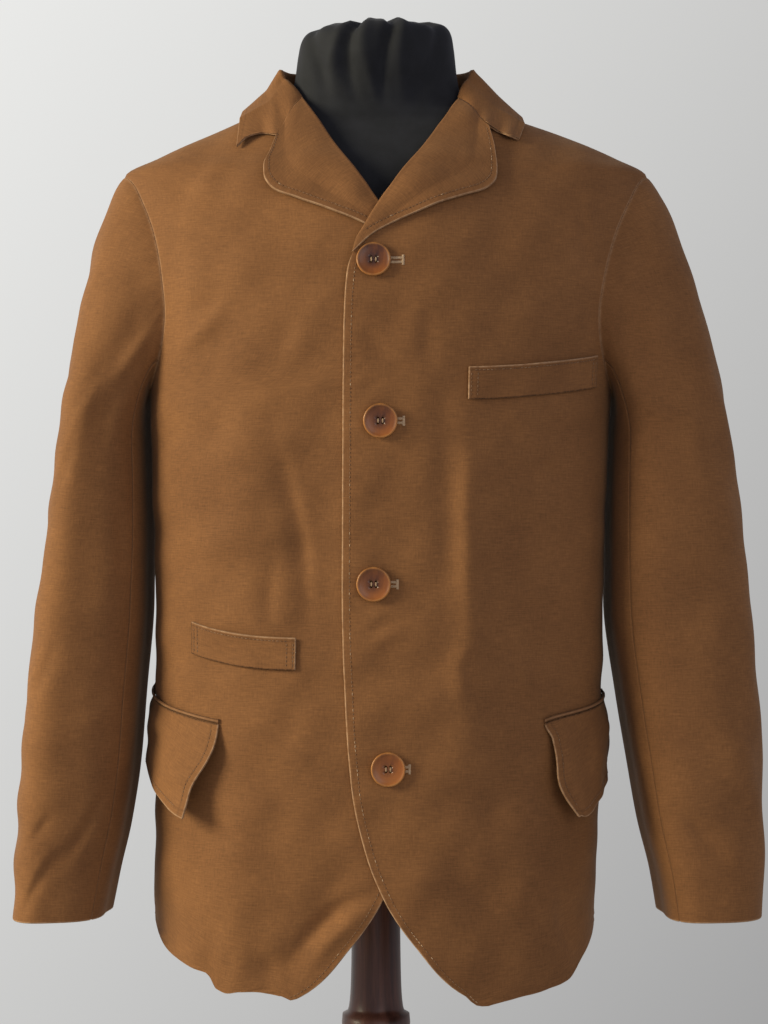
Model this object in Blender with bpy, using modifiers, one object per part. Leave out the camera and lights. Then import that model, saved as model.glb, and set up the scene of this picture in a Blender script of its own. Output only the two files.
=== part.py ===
"""Sack coat on a dress form.

The coat is cut as a tailor cuts it: two fronts with turned lapels, one back, two-piece sleeves, a collar,
welts, flaps and buttons. It rests on the shoulders of a padded form that stands on a turned post.
Metres, +Z up. The coat faces -Y, +X is the wearer's left, and the origin is on the floor under the post.
"""

import math

import bmesh
import bpy
import numpy as np
from mathutils import Matrix

# Cloth and seams
CLOTH = 0.0016
DOUBLED = 0.0022
SEAM = 0.0003
CLEAR = 0.0006

# Coat body: horizontal sections from the hem to the neck seam
BODY_COLUMNS = ("z", "centre_x", "half_width", "front", "back", "squareness")
BODY_SECTIONS = (
    (0.6970, -0.0015, 0.1890, 0.1330, 0.1200, 2.50),
    (0.7800, -0.0005, 0.1900, 0.1315, 0.1170, 2.50),
    (0.9000, 0.0020, 0.1915, 0.1290, 0.1120, 2.45),
    (1.0300, 0.0030, 0.1930, 0.1275, 0.1090, 2.40),
    (1.1200, 0.0030, 0.1955, 0.1280, 0.1140, 2.40),
    (1.2000, 0.0040, 0.1985, 0.1285, 0.1220, 2.35),
    (1.2585, 0.0050, 0.2030, 0.1270, 0.1260, 2.30),
    (1.2945, 0.0060, 0.2110, 0.1230, 0.1270, 2.25),
    (1.3340, 0.0075, 0.2200, 0.1145, 0.1230, 2.12),
    (1.3680, 0.0085, 0.2260, 0.1015, 0.1150, 1.98),
    (1.3890, 0.0085, 0.2255, 0.0890, 0.1080, 1.85),
    (1.4050, 0.0095, 0.1975, 0.0755, 0.1000, 1.85),
    (1.4240, 0.0080, 0.1540, 0.0590, 0.0890, 1.90),
    (1.4410, 0.0020, 0.1100, 0.0460, 0.0770, 2.00),
    (1.4520, 0.0005, 0.0860, 0.0380, 0.0660, 2.00),
)
NECK_ROW = len(BODY_SECTIONS) - 1
ARMPIT_Z = 1.2000
SHOULDER_Z = 1.3890
ARMHOLE_STEPS = 8
ARMHOLE_DIP_FRONT = 0.27
ARMHOLE_DIP_BACK = 0.25
SIDE_SEAM_BACK = 0.06
SIDE_SEAM_RUN = 0.12
ARMHOLE_FULL_LOW = 0.88
FRONT_COLUMNS = 13
BACK_COLUMNS = 21
FRONT_LOWER_Z = (0.697, 0.7018, 0.715, 0.735, 0.760, 0.790, 0.835, 0.890, 0.950, 1.010, 1.070, 1.135)
BACK_LOWER_Z = (0.697, 0.735, 0.790, 0.835, 0.890, 0.950, 1.010, 1.070, 1.135)
SHOULDER_ROWS = (11.0, 12.0, 13.0, 14.0)

# Hem: how far it rises from the front corner to the side and the back
HEM_RISE_SIDE = 0.058
HEM_RISE_BACK = 0.046
HEM_RISE_START_LEFT = 0.46
HEM_RISE_START_RIGHT = 0.32
HEM_RISE_REACH = 0.120

# Front edge: distance of the edge from the line of closing, minus past it; the right front mirrors the left
CLOSING_X = 0.0065
# Columns: height, inset
FRONT_EDGE = (
    (0.6970, 0.0860),
    (0.7018, 0.0715),
    (0.7426, 0.0285),
    (0.7830, 0.0010),
    (0.8240, -0.0150),
    (0.8730, -0.0255),
    (0.9466, -0.0310),
    (1.0280, -0.0335),
    (1.1100, -0.0325),
    (1.2485, -0.0303),
    (1.3180, -0.0240),
)

# Roll line of the lapel: half-distance between the two lines, measured from their own middle
ROLL_X = 0.0010
BREAK_Z = 1.3180
# Columns: height, inset
ROLL_LINE = (
    (1.3180, -0.0185),
    (1.3350, -0.0105),
    (1.3576, 0.0025),
    (1.4078, 0.0385),
    (1.4520, 0.0675),
)

# Outer edge of the lapel from the break to the notch: distance from the middle and height
LAPEL_EDGE = (
    (-0.0105, 1.3215),
    (0.0165, 1.3395),
    (0.0410, 1.3480),
    (0.0660, 1.3560),
    (0.0850, 1.3655),
    (0.0945, 1.3755),
    (0.0970, 1.3870),
    (0.0950, 1.3985),
    (0.0905, 1.4090),
    (0.0885, 1.4175),
)
LAPEL_ROWS = 11
LAPEL_LEAF_COLUMNS = 6
LAPEL_EDGE_LIFT = 0.0030
LAPEL_ROLL_PUFF = 0.0022
LAPEL_PUFF_REACH = 1.6
LAPEL_LIFT_START, LAPEL_LIFT_LENGTH = 0.15, 0.30
ROLL_GAP = 0.0009
GORGE_GAP = 0.0007
LAPEL_HIDDEN_START = 0.06
LAP_HEIGHT = CLOTH + CLEAR
LAP_HEIGHT_BREAK = CLOTH + DOUBLED + 5 * CLEAR
LAP_FULL_X = 0.045
LAP_GONE_X = 0.105
LAP_RISE_Z = 1.255
LAP_FADE_Z = 1.365
LAP_FADE_LENGTH = 0.050

# Collar: stations from the centre back to just short of the front end, which meets the lapel
COLLAR_COLUMNS = ("stand", "lean", "mid_x", "mid_y", "mid_z", "edge_x", "edge_y", "edge_z")
COLLAR_STATIONS = (
    (0.0315, 0.0010, 0.0000, 0.0785, 1.4650, 0.0000, 0.0855, 1.4440),
    (0.0312, 0.0012, 0.0560, 0.0640, 1.4650, 0.0625, 0.0720, 1.4450),
    (0.0305, 0.0015, 0.0915, 0.0290, 1.4645, 0.1045, 0.0345, 1.4435),
    (0.0290, 0.0020, 0.0990, -0.0020, 1.4620, 0.1185, -0.0025, 1.4432),
    (0.0190, 0.0020, 0.0965, -0.0265, 1.4480, 0.1210, -0.0330, 1.4330),
)
COLLAR_TIP = (0.1160, 1.4085)
COLLAR_LAST_STATION = 0.8
COLLAR_SEAM_SHARES = (2.0, 1.72, 1.38, 1.0)
COLLAR_HALF_STATIONS = 11
COLLAR_SEAM_IN = 0.6 * CLOTH
COLLAR_SEAM_UP = SEAM + 0.25 * DOUBLED
FOLD_RADIUS = 0.0014
LEAF_LIFT = 0.0012

# Sleeves: sections down to the cuff, distances from the middle of the coat
# Columns: height, inner x, outer x, front y, back y
SLEEVE_LEFT = (
    (1.1650, 0.2035, 0.3050, -0.0720, 0.0780),
    (1.0930, 0.2015, 0.3145, -0.0740, 0.0740),
    (1.0245, 0.2010, 0.3215, -0.0780, 0.0660),
    (0.9470, 0.2100, 0.3270, -0.0840, 0.0540),
    (0.8870, 0.2195, 0.3290, -0.0890, 0.0420),
    (0.8360, 0.2280, 0.3290, -0.0930, 0.0300),
    (0.7930, 0.2385, 0.3280, -0.0960, 0.0200),
    (0.7600, 0.2440, 0.3260, -0.0980, 0.0140),
)
SLEEVE_RIGHT = (
    (1.1650, 0.1985, 0.2720, -0.0720, 0.0780),
    (1.0930, 0.1965, 0.2810, -0.0740, 0.0740),
    (1.0245, 0.1970, 0.2895, -0.0780, 0.0660),
    (0.9470, 0.2025, 0.2970, -0.0840, 0.0540),
    (0.8870, 0.2065, 0.3010, -0.0890, 0.0420),
    (0.8360, 0.2135, 0.3035, -0.0930, 0.0300),
    (0.7930, 0.2230, 0.3045, -0.0960, 0.0200),
    (0.7600, 0.2295, 0.3050, -0.0980, 0.0140),
)
SLEEVE_SQUARENESS = 3.0
SLEEVE_BACK_LEAN = 0.0075
SLEEVE_HEAD_STEPS = (0.06, 0.16, 0.32, 0.55, 0.78)
SLEEVE_TURN_TOP = 47.0
SLEEVE_TURN_MIDDLE = 45.0
SLEEVE_TURN_UNDER = 120.0
SLEEVE_TURN_BLEND = 1.5
SLEEVE_SEAM_GAP = 0.75 * SEAM
SLEEVE_HEAD_PULL = 0.42
SLEEVE_ARM_PULL = 0.90
SLEEVE_FRONT_SEAM = 2
SLEEVE_BACK_SEAM = 13

# Largest folds: ends (x, z) in the front view, width and depth, plus for a ridge and minus for a trough
# Columns: start x, start z, end x, end z, width, depth
FRONT_FOLDS = (
    (-0.050, 1.160, -0.058, 0.980, 0.024, -0.0040),
    (-0.105, 1.200, -0.115, 1.040, 0.026, 0.0035),
    (0.085, 1.140, 0.070, 0.860, 0.028, 0.0045),
    (0.125, 1.120, 0.122, 0.960, 0.026, -0.0040),
    (-0.030, 0.800, -0.085, 0.705, 0.022, -0.0060),
    (-0.105, 0.860, -0.140, 0.700, 0.024, 0.0060),
    (0.120, 0.880, 0.135, 0.700, 0.026, 0.0050),
    (0.155, 1.335, 0.172, 1.240, 0.020, 0.0030),
    (-0.150, 1.335, -0.160, 1.240, 0.020, 0.0030),
)
FOLD_END_SHARE = 0.35
FOLD_SEAM_FADE = 0.18
FOLD_TOP_Z, FOLD_TOP_FADE = 1.33, 0.06
BACK_FOLDS = (
    (-0.060, 1.120, -0.075, 0.760, 0.036, 0.0050),
    (0.055, 1.100, 0.080, 0.750, 0.036, 0.0050),
    (0.000, 1.180, 0.000, 0.900, 0.034, -0.0040),
)
# Columns: degrees round from the inner side, height, rise per degree, width, depth, reach in degrees
SLEEVE_FOLDS = (
    (105.0, 0.845, 0.00045, 0.022, -0.0040, 45.0),
    (108.0, 1.040, 0.00040, 0.026, -0.0040, 45.0),
    (245.0, 0.930, -0.00035, 0.026, -0.0035, 45.0),
    (255.0, 1.010, 0.00045, 0.030, -0.0050, 50.0),
    (108.0, 1.235, 0.00060, 0.024, -0.0030, 40.0),
)

# Pockets
# Columns: share of the ring at the front and rear ends, height of the top line there, depth
BREAST_WELT = (0.300, 0.690, 1.2190, 1.2290, 0.0262)
WATCH_WELT = (0.262, 0.640, 0.9975, 1.0065, 0.0265)
FLAP_TOP = (0.520, 1.040, 0.9285, 0.9500)
FLAP_DEPTH_FRONT = 0.0830
FLAP_DEPTH_REAR = 0.0740
FLAP_LEAN_LEFT, FLAP_BEND_LEFT = 0.120, 2.2
FLAP_LEAN_RIGHT, FLAP_BEND_RIGHT = 0.125, 1.1
FLAP_STAND_OFF = 0.0105
FLAP_HEM_OFF = 0.0040
FLAP_CORNER_ROUND = 0.016
FLAP_CORNER_REACH = 0.10
FLAP_LIFT_REACH = 0.38
FLAP_LIFT_CURVE = 1.3
FLAP_ROWS = 7
FLAP_COLUMNS = 9
JET_HEIGHT = 0.0060
JET_ROUND = 0.0008
JET_PAST_FLAP = 0.008
WELT_GAPE = 0.0012
WELT_COLUMNS = 9

# Buttons
# Columns: centre x, height, lift of the back over the front
BUTTONS = (
    (-0.0015, 1.3050, -0.0004),
    (0.0040, 1.1745, 0.0006),
    (-0.0015, 1.0410, 0.0006),
    (0.0103, 0.8900, 0.0006),
)
BUTTON_RADIUS = 0.0142
BUTTON_RIM = 0.0046
# Columns: share of the radius, share of the rim height, from the well over the rim to the back
BUTTON_PROFILE = (
    (0.55, 0.65),
    (0.66, 0.93),
    (0.84, 1.00),
    (0.96, 0.85),
    (1.00, 0.59),
    (0.93, 0.28),
    (0.70, 0.00),
)
BUTTON_HOLE_RADIUS = 0.0012
BUTTON_HOLE_OUT = 0.0026
BUTTON_STEPS = 18

# Dress form: sections from the bottom plate to the top of the neck
# Columns: height, half width, front, back, squareness
FORM_SECTIONS = (
    (0.8000, 0.1380, 0.0940, 0.0900, 2.4),
    (0.8080, 0.1500, 0.1030, 0.0985, 2.4),
    (0.8500, 0.1640, 0.1130, 0.1030, 2.3),
    (0.9000, 0.1680, 0.1150, 0.1010, 2.3),
    (0.9600, 0.1580, 0.1070, 0.0950, 2.3),
    (1.0300, 0.1460, 0.0990, 0.0910, 2.3),
    (1.1200, 0.1560, 0.1060, 0.0990, 2.3),
    (1.2000, 0.1690, 0.1130, 0.1080, 2.3),
    (1.2585, 0.1770, 0.1120, 0.1120, 2.3),
    (1.2945, 0.1820, 0.1075, 0.1125, 2.3),
    (1.3340, 0.1855, 0.0980, 0.1080, 2.2),
    (1.3680, 0.1830, 0.0850, 0.1000, 2.2),
    (1.3900, 0.1770, 0.0740, 0.0920, 2.1),
    (1.4060, 0.1640, 0.0630, 0.0840, 2.1),
    (1.4217, 0.1430, 0.0500, 0.0740, 2.0),
    (1.4387, 0.1070, 0.0370, 0.0610, 2.0),
    (1.4490, 0.0810, 0.0355, 0.0560, 2.0),
    (1.4600, 0.0735, 0.0375, 0.0540, 2.0),
    (1.4750, 0.0700, 0.0420, 0.0530, 2.0),
    (1.4950, 0.0675, 0.0480, 0.0520, 2.0),
    (1.5080, 0.0650, 0.0490, 0.0490, 2.0),
    (1.5150, 0.0600, 0.0450, 0.0440, 2.0),
    (1.5190, 0.0480, 0.0360, 0.0350, 2.0),
)
FORM_QUARTER_STEPS = 6

# Stand: turned post and round base, as (radius, height) from the top down
POST_PROFILE = (
    (0.0205, 0.7997),
    (0.0214, 0.7100),
    (0.0246, 0.6690),
    (0.0285, 0.6680),
    (0.0296, 0.6590),
    (0.0285, 0.6500),
    (0.0225, 0.6480),
    (0.0205, 0.6200),
    (0.0215, 0.3000),
    (0.0240, 0.0800),
    (0.0330, 0.0480),
    (0.0420, 0.0353),
)
BASE_PROFILE = (
    (0.1720, 0.0350),
    (0.1820, 0.0325),
    (0.1880, 0.0260),
    (0.1900, 0.0180),
    (0.1900, 0.0020),
    (0.1880, 0.0000),
)
TURNED_STEPS = 24

# Colours from the photograph, in linear light, with roughness
DUCK_BROWN = (0.118, 0.062, 0.028, 1.0)
FORM_BLACK = (0.010, 0.010, 0.011, 1.0)
MAHOGANY = (0.050, 0.012, 0.007, 1.0)
HORN_BROWN = (0.150, 0.066, 0.026, 1.0)
MATT, SATIN, POLISHED = 0.88, 0.42, 0.28


# Numbers from the tables
def smooth(values, at):
    """Monotone cubic through values that stand at 0, 1, 2 and on; it never overshoots them."""
    values = np.asarray(values, float)
    at = np.asarray(at, float)
    steps = np.diff(values)
    slopes = np.zeros(len(values))
    slopes[0], slopes[-1] = steps[0], steps[-1]
    same = steps[:-1] * steps[1:] > 0
    total = np.where(same, steps[:-1] + steps[1:], 1.0)
    slopes[1:-1] = np.where(same, 2 * steps[:-1] * steps[1:] / total, 0.0)
    low = np.clip(np.floor(at).astype(int), 0, len(values) - 2)
    t = at - low
    start, end = values[low], values[low + 1]
    rise = end - start
    bend = 3 * t * t - 2 * t**3
    return start + rise * bend + slopes[low] * (t - 2 * t * t + t**3) + slopes[low + 1] * (t**3 - t * t)


def column(rows, names, name):
    return [row[names.index(name)] for row in rows]


def body(name, row):
    return smooth(column(BODY_SECTIONS, BODY_COLUMNS, name), row)


ROW_SAMPLES = np.linspace(0, NECK_ROW, 2801)
ROW_HEIGHTS = body("z", ROW_SAMPLES)


def row_at(z):
    return np.interp(z, ROW_HEIGHTS, ROW_SAMPLES)


def ease(t):
    t = np.clip(t, 0.0, 1.0)
    return t * t * (3 - 2 * t)


def unit(vectors):
    length = np.linalg.norm(vectors, axis=-1, keepdims=True)
    return vectors / np.maximum(length, 1e-12)


# The coat body as one surface: around is 0 at the centre front, 1 at the left side, 2 at the centre back
def quarter(half_width, depth, squareness, share):
    """(x, y) at a share of the arc, from the middle (0) to the side (1), on a quarter of a section."""
    angles = np.linspace(0, math.pi / 2, 65)
    power = (2 / squareness)[..., None]
    xs = half_width[..., None] * np.sin(angles) ** power
    ys = depth[..., None] * np.cos(angles) ** power
    arcs = np.cumsum(np.hypot(np.diff(xs), np.diff(ys)), axis=-1)
    arcs = np.concatenate([np.zeros_like(arcs[..., :1]), arcs], axis=-1)
    target = np.clip(share, 0, 1) * arcs[..., -1]
    flat = [np.interp(t, a, angles) for t, a in zip(target.ravel(), arcs.reshape(-1, len(angles)))]
    angle = np.array(flat).reshape(target.shape)
    power = power[..., 0]
    return half_width * np.sin(angle) ** power, depth * np.clip(np.cos(angle), 0, 1) ** power


def body_point(around, row):
    around, row = np.broadcast_arrays(np.asarray(around, float), np.asarray(row, float))
    around = (around + 2) % 4 - 2
    share = np.abs(around)
    at_front = share <= 1
    depth = np.where(at_front, body("front", row), body("back", row))
    part = np.where(at_front, share, 2 - share)
    x, y = quarter(body("half_width", row), depth, body("squareness", row), part)
    z = body("z", row)
    start = np.where(around > 0, HEM_RISE_START_LEFT, HEM_RISE_START_RIGHT)
    rise = HEM_RISE_SIDE * ease((share - start) / (1 - start))
    rise = rise + (HEM_RISE_BACK - HEM_RISE_SIDE) * ease(share - 1)
    z = z + rise * (1 - ease((z - BODY_SECTIONS[0][0]) / HEM_RISE_REACH))
    return np.stack([body("centre_x", row) + np.sign(around) * x, np.where(at_front, -y, y), z], axis=-1)


def body_normal(around, row):
    step = 1e-3
    across = body_point(around + step, row) - body_point(around - step, row)
    up = body_point(around, np.minimum(row + step, NECK_ROW)) - body_point(around, row - step)
    return unit(np.cross(across, up))


def fold_height(points, folds):
    """How far the folds stand out of the surface at these points, from their places in the front view."""
    total = np.zeros(points.shape[:-1])
    for x0, z0, x1, z1, width, depth in folds:
        start, along = np.array([x0, z0]), np.array([x1 - x0, z1 - z0])
        place = points[..., [0, 2]] - start
        t = (place @ along) / (along @ along)
        nearest = np.clip(t, 0, 1)
        off = np.linalg.norm(place - nearest[..., None] * along, axis=-1)
        strength = FOLD_END_SHARE + (1 - FOLD_END_SHARE) * np.sin(math.pi * nearest)
        total += depth * np.exp(-((off / width) ** 2)) * strength
    return total


def around_at(x, row):
    """Share of the ring where the front reaches this x."""
    shares = np.linspace(-1, 1, 161)
    return np.interp(x, body_point(shares, np.full(shares.shape, row))[:, 0], shares)


def side_seam(row):
    return 1 + SIDE_SEAM_BACK * ease((ARMPIT_Z - body("z", row)) / SIDE_SEAM_RUN)


def armhole(row, dip):
    """How far the armhole lies from the side line at this section, as a share of the ring."""
    t = np.clip((body("z", row) - ARMPIT_Z) / (SHOULDER_Z - ARMPIT_Z), 0, 1) ** ARMHOLE_FULL_LOW
    return dip * np.sqrt(np.clip(1 - (2 * t - 1) ** 2, 0, 1))


def front_outer(row):
    z = body("z", row)
    return np.where(z < ARMPIT_Z, side_seam(row), 1 - armhole(row, ARMHOLE_DIP_FRONT))


def back_outer(row):
    z = body("z", row)
    return np.where(z < ARMPIT_Z, side_seam(row), 1 + armhole(row, ARMHOLE_DIP_BACK))


def armhole_rows():
    angle = np.linspace(0, math.pi, ARMHOLE_STEPS + 1)
    middle, half = (ARMPIT_Z + SHOULDER_Z) / 2, (SHOULDER_Z - ARMPIT_Z) / 2
    return row_at(middle - half * np.cos(angle))


def edge_x(z, side):
    """Where the front panel starts: its edge below the break, the roll line above it."""
    heights, insets = np.array(FRONT_EDGE).T
    roll_heights, roll_insets = np.array(ROLL_LINE).T
    low = CLOSING_X + side * np.interp(z, heights, insets)
    high = ROLL_X + side * np.interp(z, roll_heights, roll_insets)
    return np.where(z < BREAK_Z, low, high)


def lap_height(points):
    """How far the left front stands over the right one near the closing."""
    more = LAP_HEIGHT_BREAK - LAP_HEIGHT
    full = LAP_HEIGHT + more * ease((points[..., 2] - LAP_RISE_Z) / LAP_FADE_LENGTH)
    full = full * (1 - ease((points[..., 2] - LAP_FADE_Z) / LAP_FADE_LENGTH))
    return full * (1 - ease((points[..., 0] - LAP_FULL_X) / (LAP_GONE_X - LAP_FULL_X)))


def front_face(around, row, side):
    """Outer face of one front with its lap and folds, and the outward direction there."""
    base, normal = body_point(around, row), body_normal(around, row)
    height = fold_height(base, FRONT_FOLDS) * ease((front_outer(row) - np.abs(around)) / FOLD_SEAM_FADE)
    height = height * ease((FOLD_TOP_Z - base[..., 2]) / FOLD_TOP_FADE)
    height = height * ease(np.abs(base[..., 0] - CLOSING_X) / LAP_FULL_X)
    if side > 0:
        height = height + lap_height(base)
    return base + height[..., None] * normal, normal


def front_at(x, z, side, height):
    """Point this far out from one front, at a place in the front view."""
    row = float(row_at(z))
    face, normal = front_face(np.array(around_at(x, row)), np.array(row), side)
    return face + height * normal


# Meshes
def pull(points, rows=(), columns=(), by=SEAM / 2):
    """Draws chosen edge rows and columns of a grid inwards, to leave a seam."""
    points = points.copy()
    for row in rows:
        inside = row + 1 if row == 0 else row - 1
        points[row] += by * unit(points[inside] - points[row])
    for place in columns:
        inside = place + 1 if place == 0 else place - 1
        points[:, place] += by * unit(points[:, inside] - points[:, place])
    return points


def grid_normals(points, closed=False):
    if closed:
        across = np.roll(points, -1, axis=1) - np.roll(points, 1, axis=1)
    else:
        across = np.gradient(points, axis=1)
    return unit(np.cross(across, np.gradient(points, axis=0)))


def new_object(name, mesh, material, group):
    mesh.materials.append(material)
    made = bpy.data.objects.new(name, mesh)
    group.objects.link(made)
    return made


def wall(name, outer, inner, material, group):
    """Closed wall between two grids; columns run to the right and rows run up, seen from outside."""
    rows, columns = outer.shape[:2]
    count = rows * columns
    place = np.arange(count).reshape(rows, columns)
    corners = [place[:-1, :-1], place[:-1, 1:], place[1:, 1:], place[1:, :-1]]
    quads = np.stack(corners, axis=-1).reshape(-1, 4)
    loop = np.concatenate([place[0, :-1], place[:-1, -1], place[-1, :0:-1], place[:0:-1, 0]])
    after = np.roll(loop, -1)
    rim = np.stack([loop, loop + count, after + count, after], axis=-1)
    faces = np.concatenate([quads, quads[:, ::-1] + count, rim])
    mesh = bpy.data.meshes.new(name)
    points = np.concatenate([outer.reshape(-1, 3), inner.reshape(-1, 3)])
    mesh.from_pydata(points.tolist(), [], faces.tolist())
    return new_object(name, mesh, material, group)


def turned(name, profile, steps, material, group):
    """Solid of turning: the profile runs from the axis at the top down its outer side to the axis."""
    points = [(0.0, 0.0, profile[0][1])] + [(r, 0.0, z) for r, z in profile] + [(0.0, 0.0, profile[-1][1])]
    mesh = bpy.data.meshes.new(name)
    mesh.from_pydata(points, [(i, i + 1) for i in range(len(points) - 1)], [])
    made = new_object(name, mesh, material, group)
    screw = made.modifiers.new("turn", "SCREW")
    screw.steps = screw.render_steps = steps
    screw.use_merge_vertices = True
    screw.merge_threshold = 1e-5
    return made


def new_material(name, colour, roughness):
    made = bpy.data.materials.new(name)
    made.use_nodes = True
    shader = made.node_tree.nodes["Principled BSDF"]
    shader.inputs["Base Color"].default_value = colour
    shader.inputs["Roughness"].default_value = roughness
    shader.inputs["Metallic"].default_value = 0.0
    return made


# Cloth pieces
def build_front(name, side, duck, group):
    rows = np.concatenate([row_at(np.array(FRONT_LOWER_Z)), armhole_rows(), SHOULDER_ROWS])
    f = np.linspace(0, 1, FRONT_COLUMNS)
    grid = []
    for row in rows:
        start = side * around_at(float(edge_x(body("z", row), side)), row)
        end = float(front_outer(row))
        side_line = max(end, 1.0)
        grid.append(start + (side_line - start) * f - (side_line - end) * f**2)
    around = side * np.array(grid)
    outer, normal = front_face(around, np.repeat(rows[:, None], FRONT_COLUMNS, axis=1), side)
    inner = outer - CLOTH * normal
    outer, inner = pull(outer, columns=(-1,)), pull(inner, columns=(-1,))
    if side < 0:
        outer, inner = outer[:, ::-1], inner[:, ::-1]
    wall(name, outer, inner, duck, group)


def build_back(name, duck, group):
    rows = np.concatenate([row_at(np.array(BACK_LOWER_Z)), armhole_rows(), SHOULDER_ROWS])
    ends = back_outer(rows)[:, None]
    f = np.linspace(0, 1, BACK_COLUMNS)
    around = 1 + 2 * f + (ends - 1) * np.sign(1 - 2 * f) * (1 - 2 * f) ** 2
    row_grid = np.repeat(rows[:, None], BACK_COLUMNS, axis=1)
    outer, normal = body_point(around, row_grid), body_normal(around, row_grid)
    height = fold_height(outer, BACK_FOLDS) * ease((np.minimum(around, 4 - around) - ends) / FOLD_SEAM_FADE)
    outer = outer + height[..., None] * normal
    inner = outer - CLOTH * normal
    wall(name, pull(outer, columns=(0, -1)), pull(inner, columns=(0, -1)), duck, group)


def lapel_leaf(s, t, side):
    """Point on the middle of the lapel's leaf: s runs up the roll line, t from it to the outer edge."""
    roll_z, roll_inset = np.array(ROLL_LINE).T
    lengths = np.concatenate([[0], np.cumsum(np.hypot(np.diff(roll_z), np.diff(roll_inset)))])
    z = np.interp(s * lengths[-1], lengths, roll_z)
    roll = np.array([np.interp(s * lengths[-1], lengths, roll_inset), z])
    edge_in, edge_z = np.array(LAPEL_EDGE).T
    lengths = np.concatenate([[0], np.cumsum(np.hypot(np.diff(edge_z), np.diff(edge_in)))])
    edge = np.array([np.interp(s * lengths[-1], lengths, values) for values in (edge_in, edge_z)])
    inset, height = roll + t * (edge - roll)
    grown = ease((s - LAPEL_LIFT_START) / LAPEL_LIFT_LENGTH)
    puff = LAPEL_ROLL_PUFF * math.sin(math.pi * min(1.0, t * LAPEL_PUFF_REACH))
    lift = CLEAR + DOUBLED / 2 + grown * (LAPEL_EDGE_LIFT * t * t + puff)
    return front_at(ROLL_X + side * inset, height, side, lift)


def lapel_row(s, side, arc_angles, leaf_shares):
    """Middle of the lapel's wall at one place on the roll line: the half round of the fold, then the leaf."""
    leaf = [lapel_leaf(s, t, side) for t in leaf_shares]
    heights, insets = np.array(ROLL_LINE).T
    lengths = np.concatenate([[0], np.cumsum(np.hypot(np.diff(heights), np.diff(insets)))])
    z = np.interp(s * lengths[-1], lengths, heights)
    row = float(row_at(z))
    base, normal = front_face(np.array(around_at(float(edge_x(z, side)), row)), np.array(row), side)
    out = unit(leaf[0] - leaf[1])
    out = unit(out - (out @ normal) * normal)
    low = -CLOTH / 2
    radius = (CLEAR + DOUBLED / 2 - low) / 2
    points = []
    for angle in np.radians(arc_angles):
        step = ROLL_GAP + radius * math.cos(angle)
        points.append(base + step * out + (low + radius + radius * math.sin(angle)) * normal)
    return points + leaf


def build_lapel(name, side, duck, group):
    leaf_shares = np.linspace(0, 1, LAPEL_LEAF_COLUMNS)
    start = 0.0 if side > 0 else LAPEL_HIDDEN_START
    rows = [lapel_row(s, side, (-90, -30, 30), leaf_shares) for s in np.linspace(start, 1, LAPEL_ROWS)]
    middle = np.array(rows)
    normal = grid_normals(middle) * side
    outer, inner = middle + normal * DOUBLED / 2, middle - normal * DOUBLED / 2
    outer, inner = pull(outer, rows=(-1,), by=GORGE_GAP), pull(inner, rows=(-1,), by=GORGE_GAP)
    if side < 0:
        outer, inner = outer[:, ::-1], inner[:, ::-1]
    wall(name, outer, inner, duck, group)


def collar_row(share, side):
    """Middle of the collar's wall at one station, from the neck seam over the fold to the outer edge."""
    at = min(share / COLLAR_LAST_STATION, 1.0) * (len(COLLAR_STATIONS) - 1)
    part = {}
    for name in COLLAR_COLUMNS:
        part[name] = float(smooth(column(COLLAR_STATIONS, COLLAR_COLUMNS, name), at))
    end_around = abs(around_at(float(edge_x(BODY_SECTIONS[-1][0], 1)), NECK_ROW))
    knots = np.array(COLLAR_SEAM_SHARES + ((1 + end_around) / 2, end_around))
    around = float(smooth(knots, share * (len(knots) - 1)))
    seam = body_point(np.array(side * around), np.array(float(NECK_ROW)))
    normal = body_normal(np.array(side * around), np.array(float(NECK_ROW)))
    out = unit(np.array([normal[0], normal[1], 0.0]))
    seam = seam - out * COLLAR_SEAM_IN + np.array([0, 0, COLLAR_SEAM_UP])
    blend = ease((share - COLLAR_LAST_STATION) / (1 - COLLAR_LAST_STATION))
    top = seam + np.array([0, 0, part["stand"]]) - part["lean"] * out
    centre = top - np.array([0, 0, FOLD_RADIUS])
    rise = np.array([0, 0, 1.0])
    turns = np.radians((180, 120, 60, 0))
    arc = [centre + FOLD_RADIUS * (math.cos(a) * out + math.sin(a) * rise) for a in turns]
    mid = np.array([side * part["mid_x"], part["mid_y"], part["mid_z"]])
    edge = np.array([side * part["edge_x"], part["edge_y"], part["edge_z"]])
    leaf = [arc[-1] + (mid - arc[-1]) * t for t in (0.33, 0.67, 1.0)]
    leaf += [mid + (edge - mid) * t for t in (0.34, 0.67, 1.0)]
    end = lapel_row(1.0, side, (-90, -54, -18, 18), (0.0, 0.33, 0.67, 1.0))
    lift = CLEAR + DOUBLED / 2 + LEAF_LIFT
    tip = [np.array(COLLAR_TIP) * t + np.array(LAPEL_EDGE[-1]) * (1 - t) for t in (0.34, 0.67, 1.0)]
    end += [front_at(ROLL_X + side * inset, z, side, lift) for inset, z in tip]
    return np.array([seam] + arc + leaf) * (1 - blend) + np.array(end) * blend


def build_collar(name, duck, group):
    shares = np.linspace(0, 1, COLLAR_HALF_STATIONS)
    left = [collar_row(share, 1) for share in shares[::-1]]
    right = [collar_row(share, -1) for share in shares[1:]]
    middle = np.array(left + right).transpose(1, 0, 2)
    normal = grid_normals(middle)
    outer, inner = middle + normal * DOUBLED / 2, middle - normal * DOUBLED / 2
    outer, inner = pull(outer, columns=(0, -1), by=GORGE_GAP), pull(inner, columns=(0, -1), by=GORGE_GAP)
    wall(name, outer, inner, duck, group)


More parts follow.
